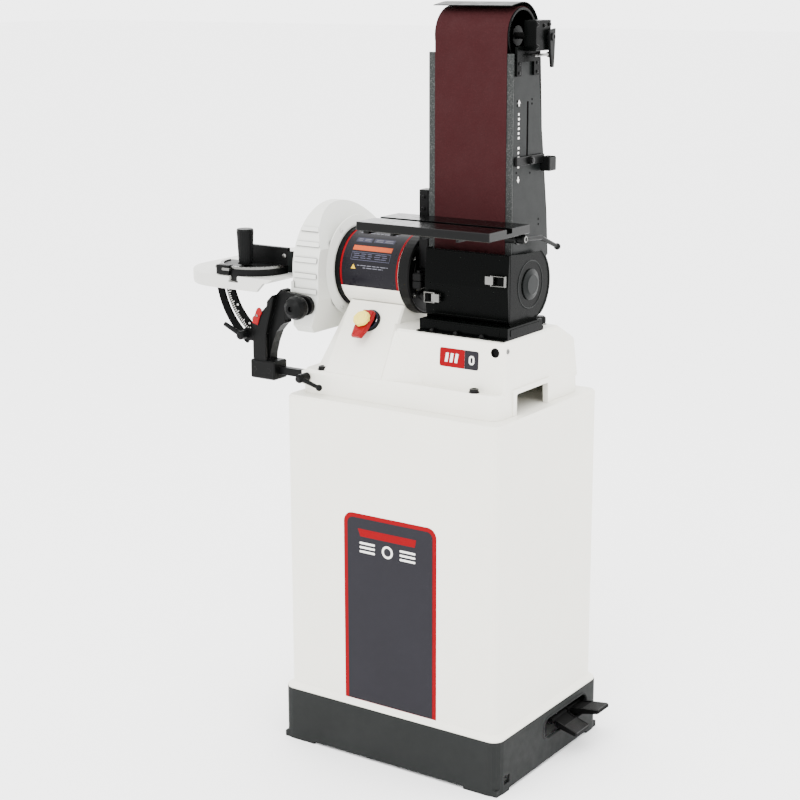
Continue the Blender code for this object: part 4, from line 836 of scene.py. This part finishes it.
def miter_details():
    """Scale, index, screws and handle of the miter gauge."""
    pivot = m(-0.3615, -0.118, 0)
    rim_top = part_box("miter_head")[1].z
    bm = bmesh.new()
    steps = 40
    rings = []
    for r, rise in ((0.064, 0.0001), (0.0668, 0.0006), (0.0699, 0.0003), (0.0703, -0.0035),
                    (0.0703, -0.0045)):
        turns = [pi + pi * i / steps for i in range(steps + 1)]
        rings.append([bm.verts.new((pivot.x + r * cos(a), pivot.y + r * sin(a), rim_top + rise))
                      for a in turns])
    bridge(bm, rings, closed=False)
    piece("miter_scale_rim", bm, zinc, "miter_head")
    bm = bmesh.new()
    half, reach = 0.00022, 0.069
    for k in range(25):
        angle = radians(198 + k * 6)
        out = Vector((cos(angle), sin(angle), 0))
        across = Vector((-sin(angle), cos(angle), 0))
        length = 0.003 if k % 3 else 0.0042
        tick = [(-half, reach - length), (half, reach - length), (half, reach), (-half, reach)]
        slab(bm, tick, Vector((pivot.x, pivot.y, rim_top + 0.0005)), -across, out, 0.00012, start=0.00012)
    piece("miter_scale_ticks", bm, shadow, "miter_head")
    bm = bmesh.new()
    block(bm, m(-0.401, -0.193, DISC_TOP + 0.0012), m(-0.37, -0.1775, DISC_TOP + 0.02), 0.001)
    piece("miter_index_block", bm, black_cast, "miter_bar")
    bm = bmesh.new()
    for x0, x1, y, height, radius, steps in ((-0.384, -0.366, -0.1936, 0.0125, 0.003, 14),
                                             (-0.401, -0.4055, -0.188, 0.015, 0.0022, 12)):
        wire(bm, [m(x, y, DISC_TOP + height) for x in (x0, x1)], radius, steps=steps)
    piece("miter_index_pin", bm, zinc, "miter_bar")
    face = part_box("miter_fence")[0].y
    fasteners("miter_fence_screws", pan_screw, [m(x, face, 0.964) for x in (-0.3, -0.395)], -Y,
              (0.0046, 0.0026), zinc, "miter_head")
    bm = bmesh.new()
    end = [(-0.2918, 0.933), (-0.2762, 0.933), (-0.2762, 0.9637), (-0.2832, 0.9733), (-0.2918, 0.9733)]
    slab(bm, end, m(0, face + 0.0012, 0), X, Z, 0.0008)
    piece("miter_fence_end", bm, grey_sheet, "miter_head")
    centre = size_and_place("miter_handle")[2]
    bm = bmesh.new()
    for k in range(24):
        angle = 2 * pi * k / 24
        out = Vector((cos(angle), sin(angle), 0))
        line = [Vector((centre.x, centre.y, z)) + out * r for z, r in ((0.956, 0.0134), (1.0125, 0.0163))]
        wire(bm, line, 0.0006, steps=5)
    piece("miter_handle_flutes", bm, black_plastic, "miter_handle")


# ---- belt side -----------------------------------------------------------------------
def arm_details():
    """Marks beside the tension slot, screws of the arm, and the splice of the belt."""
    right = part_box("arm_plate_right")[1].x
    origin = Vector((right, 0, 0))
    bm = bmesh.new()
    for y, z in ((-0.036, 1.276), (-0.0355, 1.268), (0.017, 1.277), (0.017, 1.269), (0.0465, 1.055),
                 (0.047, 1.0455), (-0.036, 1.148), (0.013, 1.144)):
        slab(bm, oval(y, z, 0.0021, 0.0021, 12), origin, Y, Z, 0.00012)
    piece("arm_plate_holes", bm, shadow, "arm")
    bm = bmesh.new()
    for z, sign in ((1.271, 1), (1.1365, -1)):
        arrow = [(-0.031, z - sign * 0.004), (-0.0275, z - sign * 0.004), (-0.0275, z + sign * 0.001),
                 (-0.0245, z + sign * 0.001), (-0.0292, z + sign * 0.0075), (-0.034, z + sign * 0.001),
                 (-0.031, z + sign * 0.001)]
        slab(bm, arrow if sign > 0 else arrow[::-1], origin, Y, Z, 0.0002)
    for start, count in ((1.208, 6), (1.156, 5)):
        for k in range(count):
            z = start + k * 0.0085
            dash = rounded(-0.0322, -0.0265 - 0.0012 * (k % 2), z, z + 0.0042, 0.0006, 2)
            slab(bm, dash, origin, Y, Z, 0.0002)
    piece("arm_plate_marks", bm, label_white, "arm")
    bm = bmesh.new()
    low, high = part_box("platen")
    for z in (1.02, 1.18, 1.34):
        for x in (low.x + 0.0065, high.x - 0.0065):
            disc(bm, Vector((x, low.y, z)), -Y, 0.0032, 0.0002, 16)
    piece("platen_screws", bm, platen_steel, "arm")
    bm = bmesh.new()
    low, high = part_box("abrasive_belt")
    left, right = -high.x + 0.0004, -low.x - 0.0004
    strip = [(right, 1.124), (left, 1.209), (left, 1.205), (right, 1.12)]
    slab(bm, strip, Vector((0, high.y, 0)), -X, Z, 0.00008, start=0.00004)
    tape = surface("belt_splice", (0.017, 0.0042, 0.0046), 0.7, vary=0.1, specular=0.05)
    piece("belt_splice", bm, tape, "arm")
    back_low, back_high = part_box("arm_back_cover")
    places = [Vector((x, y, z)) for x in (back_low.x + 0.02, back_high.x - 0.02)
              for y, z in ((0.079, 1.1), (0.0722, 1.245))]
    fasteners("back_cover_screws", pan_screw, places, Vector((0, 1, 0.05)), (0.0038, 0.0022), zinc, "arm")


def tracking_details():
    """Screws of the tracking bracket and carriage, rims of the idler drum, grip of the lever."""
    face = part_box("tracking_bracket")[1].x
    places = [Vector((face, y, z)) for y,
              z in ((-0.012, 1.41), (-0.012, 1.372), (0.031, 1.41), (0.013, 1.408))]
    fasteners("tracking_screws", socket_screw, places, X, (0.003, 0.0026), black_oxide, "idler_carriage")
    places = [m(0.185, y, z) for y in (-0.0375, 0.026) for z in (1.326, 1.342)]
    fasteners("carriage_screws", pan_screw, places, X, (0.003, 0.0018), black_oxide, "idler_carriage")
    bm = bmesh.new()
    sunk_screw(bm, m(0.216, 0.03, 1.388), X, 0.0062, 0.0056, 0.0036, 0.0008, 0.001)
    piece("tracking_handle_screw", bm, black_oxide, "tracking_handle")
    bm = bmesh.new()
    for end, axis in zip(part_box("idler_drum"), (-X, X)):
        at = Vector((end.x, 0, IDLER_Z))
        lathe(bm, [(0.0, 0.05), (0.0006, 0.0494), (0.0006, 0.047), (0.0, 0.0462)], at, axis, 48)
    piece("idler_drum_rims", bm, drum_black, "idler")
    bm = bmesh.new()
    for k in range(6):
        y = 0.0505 + k * 0.004
        block(bm, m(0.1831, y, 1.1698), m(0.2005, y + 0.0016, 1.1712), 0.0004)
    piece("tension_grip", bm, rubber, "tension_handle")
    fasteners("tension_nut", hex_nut, [m(0.1916, 0.002, 1.168)], X, (0.005, 0.003), black_oxide,
              "tension_handle")


def housing_details():
    """Rings and foot of the dust housing, beads of its door, latch bails, the knob behind it."""
    wall = m(0.192, 0, SHAFT_Z)
    bm = bmesh.new()
    lathe(bm, [(SKIN, 0.0462), (0.0011, 0.0452), (0.0011, 0.044), (SKIN, 0.043)], wall, X, 64)
    turns = [radians(-58 + 116 * i / 44) for i in range(45)]
    rings = [[bm.verts.new(wall + X * out + Y * (r * cos(a)) + Z * (r * sin(a))) for a in turns]
             for r, out in ((0.0716, 0.0002), (0.0716, 0.0016), (0.069, 0.0016), (0.0684, 0.0002))]
    bridge(bm, rings, closed=False)
    piece("housing_side_rings", bm, grey_sheet)
    bm = bmesh.new()
    turns = [radians(100 + 160 * i / 12) for i in range(13)]
    crescent = [(0.0275 * cos(a), 0.0275 * sin(a)) for a in turns]
    crescent += [(0.019 * cos(a) - 0.0015, 0.019 * sin(a)) for a in reversed(turns)]
    slab(bm, crescent, wall + X * 0.0022, Y, Z, 0.0003)
    piece("housing_side_opening", bm, shadow)

    foot_front, foot_low, foot_right = -0.105, BASE_TOP, 0.2075
    flange_top = foot_low + 0.0026
    bm = bmesh.new()
    block(bm, m(0.0165, foot_front - 0.0125, foot_low + 0.0001),
          m(foot_right, foot_front + 0.0002, flange_top), 0.0006)
    panel = rounded(0.03, 0.19, foot_low + 0.0065, foot_low + 0.019, 0.002, 3)
    slab(bm, panel, m(0, foot_front, 0), X, Z, 0.0012, chamfer=0.0008)
    side_panel = rounded(-0.096, 0.012, foot_low + 0.006, foot_low + 0.0185, 0.002, 3)
    slab(bm, side_panel, m(foot_right, 0, 0), Y, Z, 0.0009, chamfer=0.0006)
    piece("housing_foot_flange", bm, black_sheet)
    places = [m(x, foot_front - 0.0068, flange_top) for x in (0.048, 0.1, 0.156)]
    fasteners("housing_foot_screws", hex_nut, places, Z, (0.0038, 0.0036), black_oxide)

    bm = bmesh.new()
    door_front = -0.0745
    for z, radius in ((0.8815, 0.0013), (1.001, 0.0008)):
        wire(bm, [m(x, door_front - SKIN - 0.0008, z) for x in (0.015, 0.1875)], radius)
    piece("door_beads", bm, black_sheet, "housing_door")
    for name, sign in (("latch_right", 1), ("latch_left", -1)):
        low, high, centre = size_and_place(name)
        z, front = centre.z, low.y
        hinge_x, reach = (low.x, high.x) if sign > 0 else (high.x, low.x)
        start, end = hinge_x + sign * 0.012, reach - sign * 0.001
        bm = bmesh.new()
        loop = [(start, front + 0.0008, z - 0.0092), (end, front + 0.0012, z - 0.0092),
                (end, front + 0.0012, z + 0.0092), (start, front + 0.0008, z + 0.0092)]
        wire(bm, loop, 0.0011, closed=True)
        lathe(bm, [(-0.0098, 0), (-0.0098, 0.002), (0.0098, 0.002), (0.0098, 0)],
              Vector((start, front + 0.0012, z)), Z, 14)
        block(bm, Vector((min(hinge_x, start), front - 0.0006, z - 0.0075)),
              Vector((max(hinge_x, start), front + 0.0012, z + 0.0075)), 0.0005)
        piece(f"{name}_bail", bm, zinc, name)
    knob_low, knob_high, knob = size_and_place("arm_lock_knob")
    bm = bmesh.new()
    lathe(bm, [(0.006, 0.0112), (0.0064, 0.012), (0.0082, 0.012), (0.0086, 0.0104)],
          Vector((knob.x, knob.y, knob_low.z)), Z, 28)
    piece("arm_lock_ring", bm, zinc, "arm_lock_knob")
    bm = bmesh.new()
    for k in range(18):
        angle = 2 * pi * k / 18
        at = Vector((knob.x, knob.y, 0)) + Vector((cos(angle), sin(angle), 0)) * 0.0101
        wire(bm, [at + Z * (knob_low.z + 0.0105), at + Z * (knob_high.z - 0.003)], 0.0006, steps=5)
    piece("arm_lock_knurl", bm, black_plastic, "arm_lock_knob")


def belt_table_details():
    """Bolts, ribs and lever screw of the belt table, screws of the arm's collar and post."""
    low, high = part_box("belt_table")
    under = BELT_TABLE_TOP - 0.016
    fasteners("belt_table_bolts", hex_nut, [m(x, -0.12, under) for x in (-0.028, 0.1975)], -Z,
              (0.0045, 0.004), zinc, "belt_table")
    bm = bmesh.new()
    for x0, x1 in ((-0.05, -0.038), (0.01, 0.016), (0.08, 0.086), (0.15, 0.156)):
        block(bm, m(x0, low.y + 0.006, under - 0.006), m(x1, high.y - 0.026, under - 0.0001), 0.001)
    piece("belt_table_ribs", bm, black_table, "belt_table")
    bm = bmesh.new()
    sunk_screw(bm, m(0.2197, -0.066, 1.034), X, 0.006, 0.0052, 0.0036, 0.0008, 0.001)
    piece("belt_table_lever_screw", bm, zinc, "belt_table_lever")
    bm = bmesh.new()
    post_x = -0.0147
    socket_screw(bm, m(post_x, -0.061, 0.951), Z, 0.0042, 0.005)
    hex_nut(bm, m(post_x, -0.061, 0.921), -Z, 0.0046, 0.004)
    piece("collar_bolt", bm, black_oxide, "arm")
    post_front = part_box("arm_pivot_bracket")[0].y + 0.0305
    fasteners("post_screws", socket_screw, [m(post_x, post_front, z) for z in (1.07, 1.092)], -Y,
              (0.0034, 0.0034), black_oxide, "arm")


# ---- camera, light, floor ------------------------------------------------------------
def camera():
    data = bpy.data.cameras.new("camera")
    data.sensor_width = 36.0
    data.lens = 78.4
    cam = bpy.data.objects.new("camera", data)
    bpy.context.scene.collection.objects.link(cam)
    azimuth, elevation, roll = radians(34.284), radians(13.807), radians(-0.168)
    forward = Vector((-sin(azimuth) * cos(elevation), cos(azimuth) * cos(elevation), -sin(elevation)))
    turn = forward.to_track_quat("-Z", "Y").to_matrix() @ Matrix.Rotation(roll, 3, "Z")
    eye = m(1.7845, -2.7645, 1.502)
    cam.matrix_world = Matrix.Translation(eye) @ turn.to_4x4()
    bpy.context.scene.camera = cam


def softbox(name, at, target, width, height, power):
    data = bpy.data.lights.new(name, "AREA")
    data.shape = "RECTANGLE"
    data.size, data.size_y = width, height
    data.energy = power
    light = bpy.data.objects.new(name, data)
    bpy.context.scene.collection.objects.link(light)
    light.matrix_world = Matrix.Translation(at) @ (target - at).to_track_quat("-Z",
                                                                              "Y").to_matrix().to_4x4()


def studio():
    world = bpy.data.worlds.new("studio")
    bpy.context.scene.world = world
    world.use_nodes = True
    sky = world.node_tree.nodes["Background"].inputs
    sky["Color"].default_value = (1.0, 1.0, 1.0, 1)
    sky["Strength"].default_value = 4.4
    aim = m(0, 0, 0.75)
    softbox("key", m(0.6, -2.6, 3.6), aim, 2.0, 2.0, 130)
    softbox("side", m(1.3, 1.95, 0.8), m(0.1, 0, 0.95), 1.1, 1.5, 9)
    bm = bmesh.new()
    bmesh.ops.create_grid(bm, x_segments=1, y_segments=1, size=40)
    mesh = bpy.data.meshes.new("floor")
    bm.to_mesh(mesh)
    bm.free()
    floor = bpy.data.objects.new("floor", mesh)
    mesh.materials.append(surface("floor_white", grey(0.93), 0.9, vary=0.002, specular=0.1))
    bpy.context.scene.collection.objects.link(floor)
    floor.location.z = -0.0002


cabinet_label()
cabinet_back()
plinth_and_pedals()
base_details()
switch_details()
motor_details()
guard_details()
disc_table_details()
bracket_details()
miter_details()
arm_details()
tracking_details()
housing_details()
belt_table_details()
camera()
studio()
